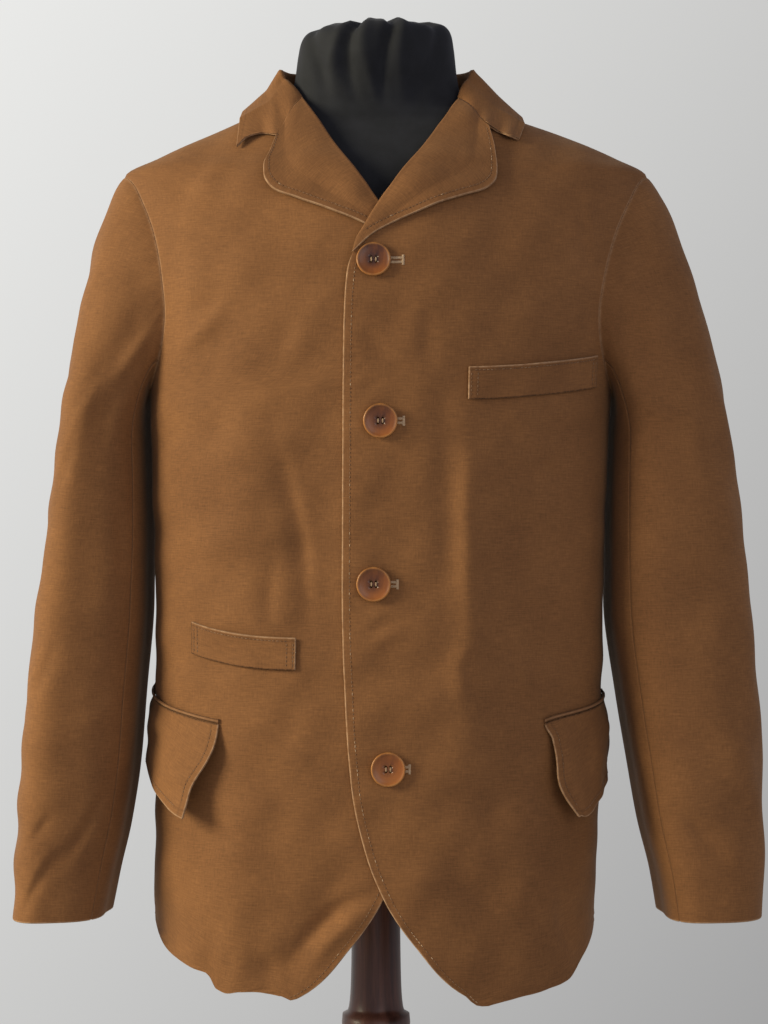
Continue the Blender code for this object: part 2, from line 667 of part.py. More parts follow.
def sleeve_ring(section, side, angles):
    z, near, far, front, back = section
    power = 2 / SLEEVE_SQUARENESS
    cos, sin = np.cos(angles), np.sin(angles)
    x = (near + far) / 2 - (far - near) / 2 * np.sign(cos) * np.abs(cos) ** power
    x = x - SLEEVE_BACK_LEAN * 2 * np.clip(cos, 0, 1) * np.clip(-sin, 0, 1)
    y = (front + back) / 2 - (back - front) / 2 * np.sign(sin) * np.abs(sin) ** power
    return np.stack([side * x, y, np.full(len(angles), z)], axis=-1)


def armhole_loop(side):
    """Armhole from the armpit round the front, over the shoulder and down the back: points and normals."""
    rows = armhole_rows()
    front = side * (1 - armhole(rows, ARMHOLE_DIP_FRONT))
    back = side * (1 + armhole(rows, ARMHOLE_DIP_BACK))
    around = np.concatenate([front, back[-2:0:-1]])
    rows = np.concatenate([rows, rows[-2:0:-1]])
    return body_point(around, rows), body_normal(around, rows)


def build_sleeve(label, side, sections, duck, group):
    edge, edge_normal = armhole_loop(side)
    count = len(edge)
    angles = np.arange(count) * 2 * math.pi / count
    along = unit(np.roll(edge, -1, axis=0) - np.roll(edge, 1, axis=0))
    into = unit(np.cross(edge_normal, along))
    into *= np.sign(np.sum(into * (edge.mean(axis=0) - edge), axis=1, keepdims=True))
    low = np.clip(np.cos(angles), 0, 1) ** SLEEVE_TURN_BLEND
    high = np.clip(-np.cos(angles), 0, 1) ** SLEEVE_TURN_BLEND
    turn = SLEEVE_TURN_MIDDLE + (SLEEVE_TURN_UNDER - SLEEVE_TURN_MIDDLE) * low
    turn = np.radians(turn + (SLEEVE_TURN_TOP - SLEEVE_TURN_MIDDLE) * high)[:, None]
    leave = np.cos(turn) * into + np.sin(turn) * edge_normal
    inward = np.where(turn < 0, -edge_normal, np.sin(turn) * into - np.cos(turn) * edge_normal)
    start = edge + SLEEVE_SEAM_GAP * unit(into + leave)
    first, second = sleeve_ring(sections[0], side, angles), sleeve_ring(sections[1], side, angles)
    reach = np.linalg.norm(first - start, axis=1, keepdims=True)
    out_start = leave * reach * SLEEVE_HEAD_PULL
    out_end = unit(second - first) * reach * SLEEVE_ARM_PULL
    rings = [start]
    for t in SLEEVE_HEAD_STEPS:
        bend = 3 * t * t - 2 * t**3
        ring = start + (first - start) * bend + out_start * (t - 2 * t * t + t**3) + out_end * (t**3 - t * t)
        rings.append(ring)
    rings += [sleeve_ring(section, side, angles) for section in sections]
    outer = np.array(rings)[::-1]
    normal = grid_normals(outer, closed=True) * side
    degrees = np.degrees(angles)
    for around, z, slope, width, depth, span in SLEEVE_FOLDS:
        off = (degrees - around + 180) % 360 - 180
        away = outer[..., 2] - z - slope * off
        height = depth * np.exp(-((away / width) ** 2)) * np.exp(-((off / span) ** 2))
        height[-3:] = 0
        outer = outer + height[..., None] * normal
    inner = outer - CLOTH * normal
    inner[-1] = start + CLOTH * inward
    top = np.arange(SLEEVE_FRONT_SEAM, SLEEVE_BACK_SEAM + 1)
    under = np.arange(SLEEVE_BACK_SEAM, count + SLEEVE_FRONT_SEAM + 1) % count
    for part, places in (("top", top), ("under", under)):
        places = places if side > 0 else places[::-1]
        cut_outer = pull(outer[:, places], columns=(0, -1))
        cut_inner = pull(inner[:, places], columns=(0, -1))
        wall(f"sleeve_{part}_{label}", cut_outer, cut_inner, duck, group)


def patch(around, z, side, height):
    """Grid of points laid on a front, moved out by height, from shares of the ring and heights."""
    row = row_at(z)
    base, normal = front_face(side * around, row, side)
    return base + np.asarray(height)[..., None] * normal


def facing_out(points, side):
    return points if side > 0 else points[:, ::-1]


def laid_piece(name, points, thickness, side, duck, group):
    points = facing_out(points, side)
    wall(name, points, points - thickness * grid_normals(points), duck, group)


def build_welt(name, sizes, side, duck, group):
    near, far, z_near, z_far, depth = sizes
    f = np.linspace(0, 1, WELT_COLUMNS)[None, :]
    g = np.linspace(0, 1, 4)[:, None]
    z = z_near + (z_far - z_near) * f - depth * (1 - g)
    around = near + (far - near) * f + 0 * g
    gape = CLOTH + CLEAR + WELT_GAPE * g**3 * np.sin(math.pi * f)
    laid_piece(name, patch(around, z, side, gape), CLOTH, side, duck, group)


def flap_grid(side):
    near, far, z_near, z_far = FLAP_TOP
    f = np.linspace(0, 1, FLAP_COLUMNS)[None, :]
    g = np.linspace(1, 0, FLAP_ROWS)[:, None]
    depth = FLAP_DEPTH_FRONT + (FLAP_DEPTH_REAR - FLAP_DEPTH_FRONT) * f
    depth = depth - FLAP_CORNER_ROUND * np.exp(-((f / FLAP_CORNER_REACH) ** 2))
    lean, bend = (FLAP_LEAN_LEFT, FLAP_BEND_LEFT) if side > 0 else (FLAP_LEAN_RIGHT, FLAP_BEND_RIGHT)
    around = near + (far - near) * f + lean * (1 - f) ** 2 * g**bend
    z = z_near + (z_far - z_near) * f - depth * g
    off = FLAP_STAND_OFF * g**FLAP_LIFT_CURVE * np.exp(-((f / FLAP_LIFT_REACH) ** 2)) + FLAP_HEM_OFF * g
    return patch(around, z - SEAM, side, CLOTH + CLEAR + off)


def build_jet(name, side, duck, group):
    near, far, z_near, z_far = FLAP_TOP
    f = np.linspace(0, 1, FLAP_COLUMNS)[None, :]
    g = np.linspace(0, 1, 3)[:, None]
    z = z_near + (z_far - z_near) * f + SEAM + JET_HEIGHT * g
    around = near - JET_PAST_FLAP + (far - near + JET_PAST_FLAP) * f + 0 * g
    round_top = CLOTH + CLEAR + JET_ROUND * np.sin(math.pi * g) + 0 * f
    laid_piece(name, patch(around, z, side, round_top), CLOTH, side, duck, group)


# Buttons, form and stand
def button_mesh(horn, group, cutters):
    """One dished button with four holes, its back at the origin and its face towards +Z."""
    profile = [(BUTTON_RADIUS * out, BUTTON_RIM * up) for out, up in BUTTON_PROFILE]
    blank = turned("button_blank", profile, BUTTON_STEPS, horn, group)
    holes = []
    for quarter_turn in range(4):
        angle = math.pi / 4 + quarter_turn * math.pi / 2
        place = (BUTTON_HOLE_OUT * math.cos(angle), BUTTON_HOLE_OUT * math.sin(angle), BUTTON_RIM / 2)
        work = bmesh.new()
        bmesh.ops.create_cone(
            work, cap_ends=True, segments=6, radius1=BUTTON_HOLE_RADIUS, radius2=BUTTON_HOLE_RADIUS,
            depth=BUTTON_RIM * 3,
        )
        bmesh.ops.translate(work, verts=work.verts, vec=place)
        mesh = bpy.data.meshes.new("button_hole")
        work.to_mesh(mesh)
        work.free()
        hole = bpy.data.objects.new(f"button_hole_{quarter_turn + 1}", mesh)
        hole.hide_render = True
        hole.display_type = "WIRE"
        cutters.objects.link(hole)
        holes.append(hole)
    for hole in holes:
        cut = blank.modifiers.new("hole", "BOOLEAN")
        cut.operation = "DIFFERENCE"
        cut.solver = "EXACT"
        cut.object = hole
    bpy.context.view_layer.update()
    done = bpy.data.meshes.new_from_object(blank.evaluated_get(bpy.context.evaluated_depsgraph_get()))
    bpy.data.objects.remove(blank)
    return done


def place_button(name, mesh, x, z, lift, group):
    row = float(row_at(z))
    face, normal = front_face(np.array(around_at(x, row)), np.array(row), 1)
    place = face + lift * normal
    up = unit(np.array([0, 0, 1.0]) - normal[2] * normal)
    right = np.cross(up, normal)
    made = bpy.data.objects.new(name, mesh)
    columns = np.eye(4)
    columns[:3, 0], columns[:3, 1], columns[:3, 2], columns[:3, 3] = right, up, normal, place
    made.matrix_world = Matrix(columns.tolist())
    group.objects.link(made)


def build_form(name, black, group):
    rings = []
    shares = np.linspace(0, 1, FORM_QUARTER_STEPS + 1)
    for z, half_width, front, back, squareness in FORM_SECTIONS:
        width, square = np.full(len(shares), half_width), np.full(len(shares), squareness)
        fx, fy = quarter(width, np.full(len(shares), front), square, shares)
        bx, by = quarter(width, np.full(len(shares), back), square, shares)
        half = [(x, -y) for x, y in zip(fx, fy)] + [(x, y) for x, y in zip(bx[-2::-1], by[-2::-1])]
        ring = half + [(-x, y) for x, y in half[-2:0:-1]]
        rings.append([(x, y, z) for x, y in ring])
    count = len(rings[0])
    points = [p for ring in rings for p in ring]
    faces = []
    for r in range(len(rings) - 1):
        for c in range(count):
            after = (c + 1) % count
            faces.append((r * count + c, r * count + after, (r + 1) * count + after, (r + 1) * count + c))
    faces.append(tuple(range(count - 1, -1, -1)))
    faces.append(tuple(range((len(rings) - 1) * count, len(rings) * count)))
    mesh = bpy.data.meshes.new(name)
    mesh.from_pydata(points, [], faces)
    new_object(name, mesh, black, group)


def main():
    for old in list(bpy.data.objects):
        bpy.data.objects.remove(old)
    group = bpy.data.collections.new("sack_coat")
    cutters = bpy.data.collections.new("cutters")
    bpy.context.scene.collection.children.link(group)
    bpy.context.scene.collection.children.link(cutters)
    cutters.hide_render = True
    duck = new_material("duck", DUCK_BROWN, MATT)
    black = new_material("form_cloth", FORM_BLACK, MATT)
    wood = new_material("mahogany", MAHOGANY, POLISHED)
    horn = new_material("horn", HORN_BROWN, SATIN)

    for label, side, sections in (("left", 1, SLEEVE_LEFT), ("right", -1, SLEEVE_RIGHT)):
        build_front(f"front_{label}", side, duck, group)
        build_lapel(f"lapel_{label}", side, duck, group)
        build_sleeve(label, side, sections, duck, group)
        laid_piece(f"flap_{label}", flap_grid(side), CLOTH, side, duck, group)
        build_jet(f"jet_{label}", side, duck, group)
    build_back("back", duck, group)
    build_collar("collar", duck, group)
    build_welt("breast_welt", BREAST_WELT, 1, duck, group)
    build_welt("watch_welt", WATCH_WELT, -1, duck, group)
    button = button_mesh(horn, group, cutters)
    for number, (x, z, lift) in enumerate(BUTTONS, start=1):
        place_button(f"button_{number}", button, x, z, lift, group)
    build_form("dress_form", black, group)
    turned("stand_post", POST_PROFILE, TURNED_STEPS, wood, group)
    turned("stand_base", BASE_PROFILE, 2 * TURNED_STEPS, wood, group)


main()
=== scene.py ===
import math

import bmesh
import bpy
import numpy as np
from mathutils import Matrix, Vector


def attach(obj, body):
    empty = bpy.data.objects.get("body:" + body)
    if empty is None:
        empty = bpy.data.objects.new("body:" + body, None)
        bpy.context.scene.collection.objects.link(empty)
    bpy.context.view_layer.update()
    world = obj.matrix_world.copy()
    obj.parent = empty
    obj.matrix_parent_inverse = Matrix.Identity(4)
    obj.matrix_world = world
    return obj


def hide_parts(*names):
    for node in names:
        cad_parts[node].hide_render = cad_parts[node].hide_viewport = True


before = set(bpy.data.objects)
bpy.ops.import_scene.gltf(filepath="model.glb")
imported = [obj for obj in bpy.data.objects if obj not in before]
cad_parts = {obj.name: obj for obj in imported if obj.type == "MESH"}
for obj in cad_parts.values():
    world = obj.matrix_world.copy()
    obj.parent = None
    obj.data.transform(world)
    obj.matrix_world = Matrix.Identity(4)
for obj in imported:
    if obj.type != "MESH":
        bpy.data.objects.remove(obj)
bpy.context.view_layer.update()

# Camera: level and square to the coat, at a guessed distance and height
CAMERA_PLACE = (0.0069, -2.3, 1.10)
SEEN_HEIGHT = 0.88576
SENSOR = 36.0
camera = bpy.data.objects.new("camera", bpy.data.cameras.new("camera"))
camera.data.sensor_fit = "VERTICAL"
camera.data.sensor_height = SENSOR
camera.data.lens = SENSOR * abs(CAMERA_PLACE[1]) / SEEN_HEIGHT
camera.location = CAMERA_PLACE
camera.rotation_euler = (math.pi / 2, 0, 0)
bpy.context.scene.collection.objects.link(camera)
bpy.context.scene.camera = camera

# Cloth and seams, as in the solids
CLOTH = 0.0016
DOUBLED = 0.0022
SEAM = 0.0003
CLEAR = 0.0006

# Coat body: horizontal sections from the hem to the neck seam
BODY_COLUMNS = ("z", "centre_x", "half_width", "front", "back", "squareness")
BODY_SECTIONS = (
    (0.6970, -0.0015, 0.1890, 0.1330, 0.1200, 2.50),
    (0.7800, -0.0005, 0.1900, 0.1315, 0.1170, 2.50),
    (0.9000, 0.0020, 0.1915, 0.1290, 0.1120, 2.45),
    (1.0300, 0.0030, 0.1930, 0.1275, 0.1090, 2.40),
    (1.1200, 0.0030, 0.1955, 0.1280, 0.1140, 2.40),
    (1.2000, 0.0040, 0.1985, 0.1285, 0.1220, 2.35),
    (1.2585, 0.0050, 0.2030, 0.1270, 0.1260, 2.30),
    (1.2945, 0.0060, 0.2110, 0.1230, 0.1270, 2.25),
    (1.3340, 0.0075, 0.2200, 0.1145, 0.1230, 2.12),
    (1.3680, 0.0085, 0.2260, 0.1015, 0.1150, 1.98),
    (1.3890, 0.0085, 0.2255, 0.0890, 0.1080, 1.85),
    (1.4050, 0.0095, 0.1975, 0.0755, 0.1000, 1.85),
    (1.4240, 0.0080, 0.1540, 0.0590, 0.0890, 1.90),
    (1.4410, 0.0020, 0.1100, 0.0460, 0.0770, 2.00),
    (1.4520, 0.0005, 0.0860, 0.0380, 0.0660, 2.00),
)
NECK_ROW = len(BODY_SECTIONS) - 1
SHOULDER_ROW = 10
HEM_Z, NECK_Z = BODY_SECTIONS[0][0], BODY_SECTIONS[-1][0]
ARMPIT_Z = 1.2000
SHOULDER_Z = 1.3890
ARMHOLE_DIP_FRONT = 0.27
ARMHOLE_DIP_BACK = 0.25
SIDE_SEAM_BACK = 0.06
SIDE_SEAM_RUN = 0.12
ARMHOLE_FULL_LOW = 0.88

# Hem: how far it rises from the front corner to the side and the back
HEM_RISE_SIDE = 0.058
HEM_RISE_BACK = 0.046
HEM_RISE_START_LEFT = 0.46
HEM_RISE_START_RIGHT = 0.32
HEM_RISE_REACH = 0.120

# Hem of each front, which has curled up or dropped here and there
# Columns: x, rise
HEM_TUCK_RIGHT = (
    (-0.1900, 0.0000),
    (-0.1689, 0.0070),
    (-0.1525, 0.0090),
    (-0.1402, 0.0113),
    (-0.1353, 0.0064),
    (-0.1324, 0.0004),
    (-0.1263, 0.0000),
    (-0.1115, 0.0060),
    (-0.0951, 0.0090),
    (-0.0787, 0.0070),
    (-0.0681, 0.0007),
    (-0.0541, 0.0000),
)
HEM_TUCK_LEFT = (
    (0.0740, 0.0000),
    (0.0836, -0.0035),
    (0.0960, -0.0005),
    (0.1090, 0.0022),
    (0.1255, 0.0050),
    (0.1425, 0.0035),
    (0.1560, -0.0020),
    (0.1640, -0.0060),
    (0.1740, 0.0000),
)
HEM_TUCK_REACH = 0.045

# Front edge: distance of the edge from the line of closing, minus past it; the right front mirrors the left
CLOSING_X = 0.0065
# Columns: height, inset
FRONT_EDGE = (
    (0.6970, 0.0860),
    (0.7018, 0.0715),
    (0.7426, 0.0285),
    (0.7830, 0.0010),
    (0.8240, -0.0150),
    (0.8730, -0.0255),
    (0.9466, -0.0310),
    (1.0280, -0.0335),
    (1.1100, -0.0332),
    (1.2485, -0.0322),
    (1.2935, -0.0295),
    (1.3130, -0.0254),
)

# Roll line of the lapel: half-distance between the two lines, measured from their own middle
ROLL_X = 0.0040
BREAK_Z = 1.3130
BREAK_BLEND = 0.006
# Columns: height, inset
ROLL_LINE = (
    (1.3130, -0.0218),
    (1.3345, -0.0090),
    (1.3567, 0.0046),
    (1.4050, 0.0385),
    (1.4520, 0.0680),
)

# Outer edge of the lapel from the break to the notch: distance from the middle and height
LAPEL_EDGE = (
    (-0.0229, 1.3110),
    (-0.0048, 1.3270),
    (0.0150, 1.3375),
    (0.0400, 1.3475),
    (0.0668, 1.3578),
    (0.0885, 1.3668),
    (0.0955, 1.3770),
    (0.0962, 1.3870),
    (0.0920, 1.4000),
    (0.0872, 1.4150),
)
# The left lapel reaches higher: its last two points
LAPEL_EDGE_TOP_LEFT = ((0.0948, 1.4030), (0.0905, 1.4235))
LAPEL_EDGE_LIFT = 0.0030
LAPEL_ROLL_PUFF = 0.0022
LAPEL_PUFF_REACH = 1.6
LAPEL_LIFT_START, LAPEL_LIFT_LENGTH = 0.15, 0.30
ROLL_GAP = 0.0009
GORGE_GAP = 0.0007
LAPEL_HIDDEN_START = 0.06
LAP_HEIGHT = CLOTH + CLEAR
LAP_HEIGHT_BREAK = CLOTH + DOUBLED + 5 * CLEAR
LAP_FULL_X = 0.045
LAP_GONE_X = 0.105
LAP_RISE_Z = 1.255
LAP_FADE_Z = 1.365
LAP_FADE_LENGTH = 0.050

# Collar: stations from the centre back to just short of the front end, which meets the lapel
COLLAR_COLUMNS = ("stand", "lean", "mid_x", "mid_y", "mid_z", "edge_x", "edge_y", "edge_z")
COLLAR_STATIONS = (
    (0.0315, 0.0010, 0.0000, 0.0785, 1.4650, 0.0000, 0.0855, 1.4440),
    (0.0312, 0.0012, 0.0560, 0.0640, 1.4650, 0.0625, 0.0720, 1.4450),
    (0.0305, 0.0015, 0.0915, 0.0290, 1.4645, 0.1045, 0.0345, 1.4435),
    (0.0290, 0.0020, 0.0990, -0.0020, 1.4620, 0.1185, -0.0025, 1.4432),
    (0.0190, 0.0020, 0.0965, -0.0265, 1.4480, 0.1210, -0.0330, 1.4330),
)
# Lower edge of each collar end from the notch to its tip: distance from the middle, height, lift
COLLAR_END = {
    1: ((0.0982, 1.4200, 0.0010), (0.1067, 1.4132, 0.0048), (0.1158, 1.4122, 0.0015)),
    -1: ((0.1003, 1.4188, 0.0008), (0.1105, 1.4150, 0.0026), (0.1206, 1.4072, 0.0014)),
}
# The leaf lies a little to the left: how far, its rise as a share of that, and the share of the way
# to the last station where this is full
COLLAR_SHIFT = 0.0055
COLLAR_SHIFT_RISE = 0.45
COLLAR_SHIFT_FULL = 0.5
COLLAR_LAST_STATION = 0.8
COLLAR_SEAM_SHARES = (2.0, 1.72, 1.38, 1.0)
COLLAR_SEAM_IN = 0.6 * CLOTH
COLLAR_SEAM_UP = SEAM + 0.25 * DOUBLED
FOLD_RADIUS = 0.0014
FOLD_ANGLES = (180, 120, 60, 0)
LEAF_SHARES_UPPER, LEAF_SHARES_LOWER = (0.33, 0.67, 1.0), (0.34, 0.67, 1.0)
GORGE_ANGLES, GORGE_SHARES = (-90, -54, -18, 18), (0.0, 0.33, 0.67, 1.0)

# Sleeves: sections down to the cuff, distances from the middle of the coat
# Columns: height, inner x, outer x, front y, back y
SLEEVE_LEFT = (
    (1.1650, 0.2035, 0.3050, -0.0720, 0.0780),
    (1.0930, 0.2015, 0.3145, -0.0740, 0.0740),
    (1.0245, 0.2010, 0.3215, -0.0780, 0.0660),
    (0.9470, 0.2100, 0.3270, -0.0840, 0.0540),
    (0.8870, 0.2195, 0.3290, -0.0890, 0.0420),
    (0.8360, 0.2280, 0.3290, -0.0930, 0.0300),
    (0.7930, 0.2385, 0.3280, -0.0960, 0.0200),
    (0.7600, 0.2440, 0.3260, -0.0980, 0.0140),
)
SLEEVE_RIGHT = (
    (1.1650, 0.1985, 0.2720, -0.0720, 0.0780),
    (1.0930, 0.1965, 0.2810, -0.0740, 0.0740),
    (1.0245, 0.1970, 0.2895, -0.0780, 0.0660),
    (0.9470, 0.2025, 0.2970, -0.0840, 0.0540),
    (0.8870, 0.2065, 0.3010, -0.0890, 0.0420),
    (0.8360, 0.2135, 0.3035, -0.0930, 0.0300),
    (0.7930, 0.2230, 0.3045, -0.0960, 0.0200),
    (0.7600, 0.2295, 0.3050, -0.0980, 0.0140),
)
SLEEVE_SQUARENESS = 3.0
SLEEVE_BACK_LEAN = 0.0075
# Degrees by which the front of each empty sleeve turns about its own upright axis
SLEEVE_FACE_TURN = {1: 9.0, -1: -13.0}
SLEEVE_TURN_TOP = 47.0
SLEEVE_TURN_MIDDLE = 45.0
SLEEVE_TURN_UNDER = 120.0
SLEEVE_TURN_BLEND = 1.5
SLEEVE_SEAM_GAP = 0.75 * SEAM
# Width of the sleeve's seam turning, which lies under the edge of the armhole
SLEEVE_TURNING = 0.003
# Depth under the armhole's face of the seam, the end of the turning and the way back, in cloths
TURNING_DEPTHS = (1.5, 1.7, 2.3)
SLEEVE_HEAD_PULL = 0.42
SLEEVE_ARM_PULL = 0.90
SLEEVE_FRONT_SEAM = 2 / 16
SLEEVE_BACK_SEAM = 13 / 16

# Largest folds, as in the solids
# Columns: start x, start z, end x, end z, width, depth
FRONT_FOLDS = (
    (-0.050, 1.160, -0.058, 0.980, 0.024, -0.0040),
    (-0.105, 1.200, -0.115, 1.040, 0.026, 0.0035),
    (0.085, 1.140, 0.070, 0.860, 0.028, 0.0045),
    (0.125, 1.120, 0.122, 0.960, 0.026, -0.0040),
    (-0.030, 0.800, -0.085, 0.705, 0.022, -0.0060),
    (-0.105, 0.860, -0.140, 0.700, 0.024, 0.0060),
    (0.120, 0.880, 0.135, 0.700, 0.026, 0.0050),
    (0.155, 1.335, 0.172, 1.240, 0.020, 0.0030),
    (-0.150, 1.335, -0.160, 1.240, 0.020, 0.0030),
)
FOLD_END_SHARE = 0.35
FOLD_SEAM_FADE = 0.18
FOLD_TOP_Z, FOLD_TOP_FADE = 1.33, 0.06
BACK_FOLDS = (
    (-0.060, 1.120, -0.075, 0.760, 0.036, 0.0050),
    (0.055, 1.100, 0.080, 0.750, 0.036, 0.0050),
    (0.000, 1.180, 0.000, 0.900, 0.034, -0.0040),
)
# Columns: degrees round from the inner side, height, rise per degree, width, depth, reach in degrees
SLEEVE_FOLDS = (
    (105.0, 0.845, 0.00045, 0.022, -0.0040, 45.0),
    (108.0, 1.040, 0.00040, 0.026, -0.0040, 45.0),
    (245.0, 0.930, -0.00035, 0.026, -0.0035, 45.0),
    (255.0, 1.010, 0.00045, 0.030, -0.0050, 50.0),
    (108.0, 1.235, 0.00060, 0.024, -0.0030, 40.0),
)

# Creases in the cloth of the fronts, in the front view
# A plus bow bends to the right of the way from start to end
# Columns: start x, start z, end x, end z, bow, width on the left, width on the right, height
FRONT_CREASES = (
    (-0.082, 1.156, -0.056, 1.012, -0.006, 0.0060, 0.0110, -0.0034),
    (-0.084, 1.060, -0.087, 1.000, 0.002, 0.0060, 0.0080, -0.0018),
    (-0.064, 1.258, -0.080, 1.226, 0.002, 0.0080, 0.0100, -0.0016),
    (-0.176, 1.262, -0.128, 1.264, -0.006, 0.0080, 0.0070, -0.0026),
    (-0.168, 1.236, -0.126, 1.270, 0.005, 0.0070, 0.0080, 0.0030),
    (-0.166, 1.326, -0.182, 1.298, 0.002, 0.0080, 0.0080, -0.0020),
    (-0.150, 1.380, -0.172, 1.350, 0.000, 0.0120, 0.0100, -0.0018),
    (-0.128, 1.396, -0.150, 1.372, 0.000, 0.0090, 0.0090, 0.0014),
    (-0.010, 1.252, 0.014, 1.222, 0.002, 0.0070, 0.0090, -0.0014),
    (0.008, 1.208, -0.014, 1.194, 0.002, 0.0060, 0.0070, -0.0013),
    (0.007, 1.104, -0.014, 1.098, 0.001, 0.0050, 0.0060, -0.0010),
    (0.044, 1.272, 0.044, 1.224, 0.002, 0.0080, 0.0080, -0.0014),
    (0.054, 1.188, 0.056, 1.010, -0.003, 0.0100, 0.0120, -0.0022),
    (0.075, 1.160, 0.077, 0.992, 0.002, 0.0090, 0.0070, 0.0026),
    (0.077, 0.990, 0.064, 0.974, 0.000, 0.0060, 0.0070, 0.0020),
    (0.065, 0.976, 0.070, 0.944, -0.001, 0.0070, 0.0080, 0.0022),
    (0.131, 1.148, 0.156, 1.122, -0.002, 0.0035, 0.0050, -0.0014),
    (0.100, 1.184, 0.126, 1.154, 0.003, 0.0070, 0.0080, -0.0012),
    (0.158, 1.172, 0.140, 1.160, 0.001, 0.0060, 0.0070, -0.0013),
    (0.180, 1.350, 0.193, 1.290, 0.003, 0.0040, 0.0060, 0.0020),
    (0.172, 1.350, 0.186, 1.296, 0.003, 0.0060, 0.0050, -0.0018),
    (-0.007, 0.998, 0.022, 1.012, -0.003, 0.0050, 0.0060, -0.0019),
    (-0.004, 0.990, 0.024, 1.002, -0.003, 0.0060, 0.0050, 0.0014),
    (0.115, 1.010, 0.134, 0.936, 0.002, 0.0040, 0.0060, 0.0014),
    (0.134, 0.944, 0.178, 0.968, 0.002, 0.0060, 0.0050, 0.0018),
    (-0.003, 0.788, -0.066, 0.739, 0.007, 0.0080, 0.0070, -0.0044),
    (-0.006, 0.776, -0.058, 0.722, 0.005, 0.0080, 0.0090, 0.0034),
    (-0.128, 0.760, -0.136, 0.712, 0.002, 0.0080, 0.0090, -0.0026),
    (-0.108, 0.745, -0.112, 0.705, 0.001, 0.0080, 0.0090, 0.0026),
    (-0.090, 0.738, -0.086, 0.705, 0.001, 0.0070, 0.0080, -0.0020),
    (0.150, 0.790, 0.166, 0.730, 0.002, 0.0090, 0.0080, -0.0026),
    (0.060, 0.820, 0.110, 0.760, 0.006, 0.0140, 0.0160, -0.0018),
    (-0.120, 0.905, -0.070, 0.880, 0.003, 0.0120, 0.0140, -0.0014),
    (-0.055, 0.960, -0.075, 0.900, 0.003, 0.0110, 0.0120, -0.0012),
)
# Creases of the back, with x to the wearer's left
BACK_CREASES = (
    (-0.150, 1.262, -0.095, 1.230, 0.004, 0.0080, 0.0090, -0.0026),
    (0.146, 1.258, 0.100, 1.222, -0.004, 0.0080, 0.0090, -0.0024),
    (-0.130, 1.330, -0.060, 1.300, 0.006, 0.0120, 0.0110, -0.0018),
    (0.120, 1.335, 0.050, 1.312, -0.005, 0.0110, 0.0120, -0.0016),
    (-0.112, 1.130, -0.122, 0.960, 0.004, 0.0080, 0.0110, -0.0028),
    (-0.030, 1.090, -0.038, 0.900, -0.003, 0.0090, 0.0120, -0.0020),
    (0.032, 1.110, 0.026, 0.980, 0.003, 0.0080, 0.0100, -0.0018),
    (0.104, 1.060, 0.120, 0.860, -0.004, 0.0100, 0.0090, -0.0026),
    (0.150, 1.040, 0.156, 0.920, 0.002, 0.0080, 0.0080, 0.0018),
    (-0.080, 0.900, -0.050, 0.780, 0.005, 0.0120, 0.0100, -0.0020),
    (0.020, 0.880, 0.044, 0.770, 0.004, 0.0100, 0.0120, 0.0020),
    (0.000, 1.400, 0.030, 1.372, 0.002, 0.0120, 0.0120, -0.0012),
)
# Creases of the sleeves, round the arm in degrees from the inner side: 90 is the front, 180 the outer side
# Columns: start degrees, start z, end degrees, end z, bow, width above, width below, height
SLEEVE_CREASES_RIGHT = (
    (62.0, 0.866, 120.0, 0.774, 0.004, 0.0050, 0.0075, -0.0036),
    (96.0, 0.850, 124.0, 0.826, 0.002, 0.0050, 0.0060, -0.0020),
    (108.0, 0.990, 134.0, 0.945, 0.003, 0.0080, 0.0090, -0.0022),
    (66.0, 0.955, 100.0, 0.925, 0.002, 0.0080, 0.0080, -0.0016),
    (56.0, 1.285, 112.0, 1.172, 0.006, 0.0080, 0.0100, 0.0030),
    (84.0, 1.205, 94.0, 1.148, 0.003, 0.0080, 0.0100, -0.0024),
    (110.0, 1.160, 128.0, 1.120, 0.002, 0.0090, 0.0090, -0.0018),
    (70.0, 1.110, 60.0, 1.040, 0.002, 0.0080, 0.0090, -0.0016),
    (70.0, 1.320, 105.0, 1.290, 0.002, 0.0080, 0.0080, -0.0016),
    (200.0, 0.990, 268.0, 1.020, 0.004, 0.0080, 0.0100, -0.0034),
    (215.0, 0.960, 275.0, 0.975, -0.004, 0.0070, 0.0090, -0.0028),
    (215.0, 1.230, 262.0, 1.160, 0.004, 0.0090, 0.0100, -0.0024),
    (160.0, 1.100, 195.0, 1.060, 0.003, 0.0100, 0.0110, -0.0016),
    (190.0, 0.860, 240.0, 0.810, 0.003, 0.0070, 0.0080, -0.0022),
)
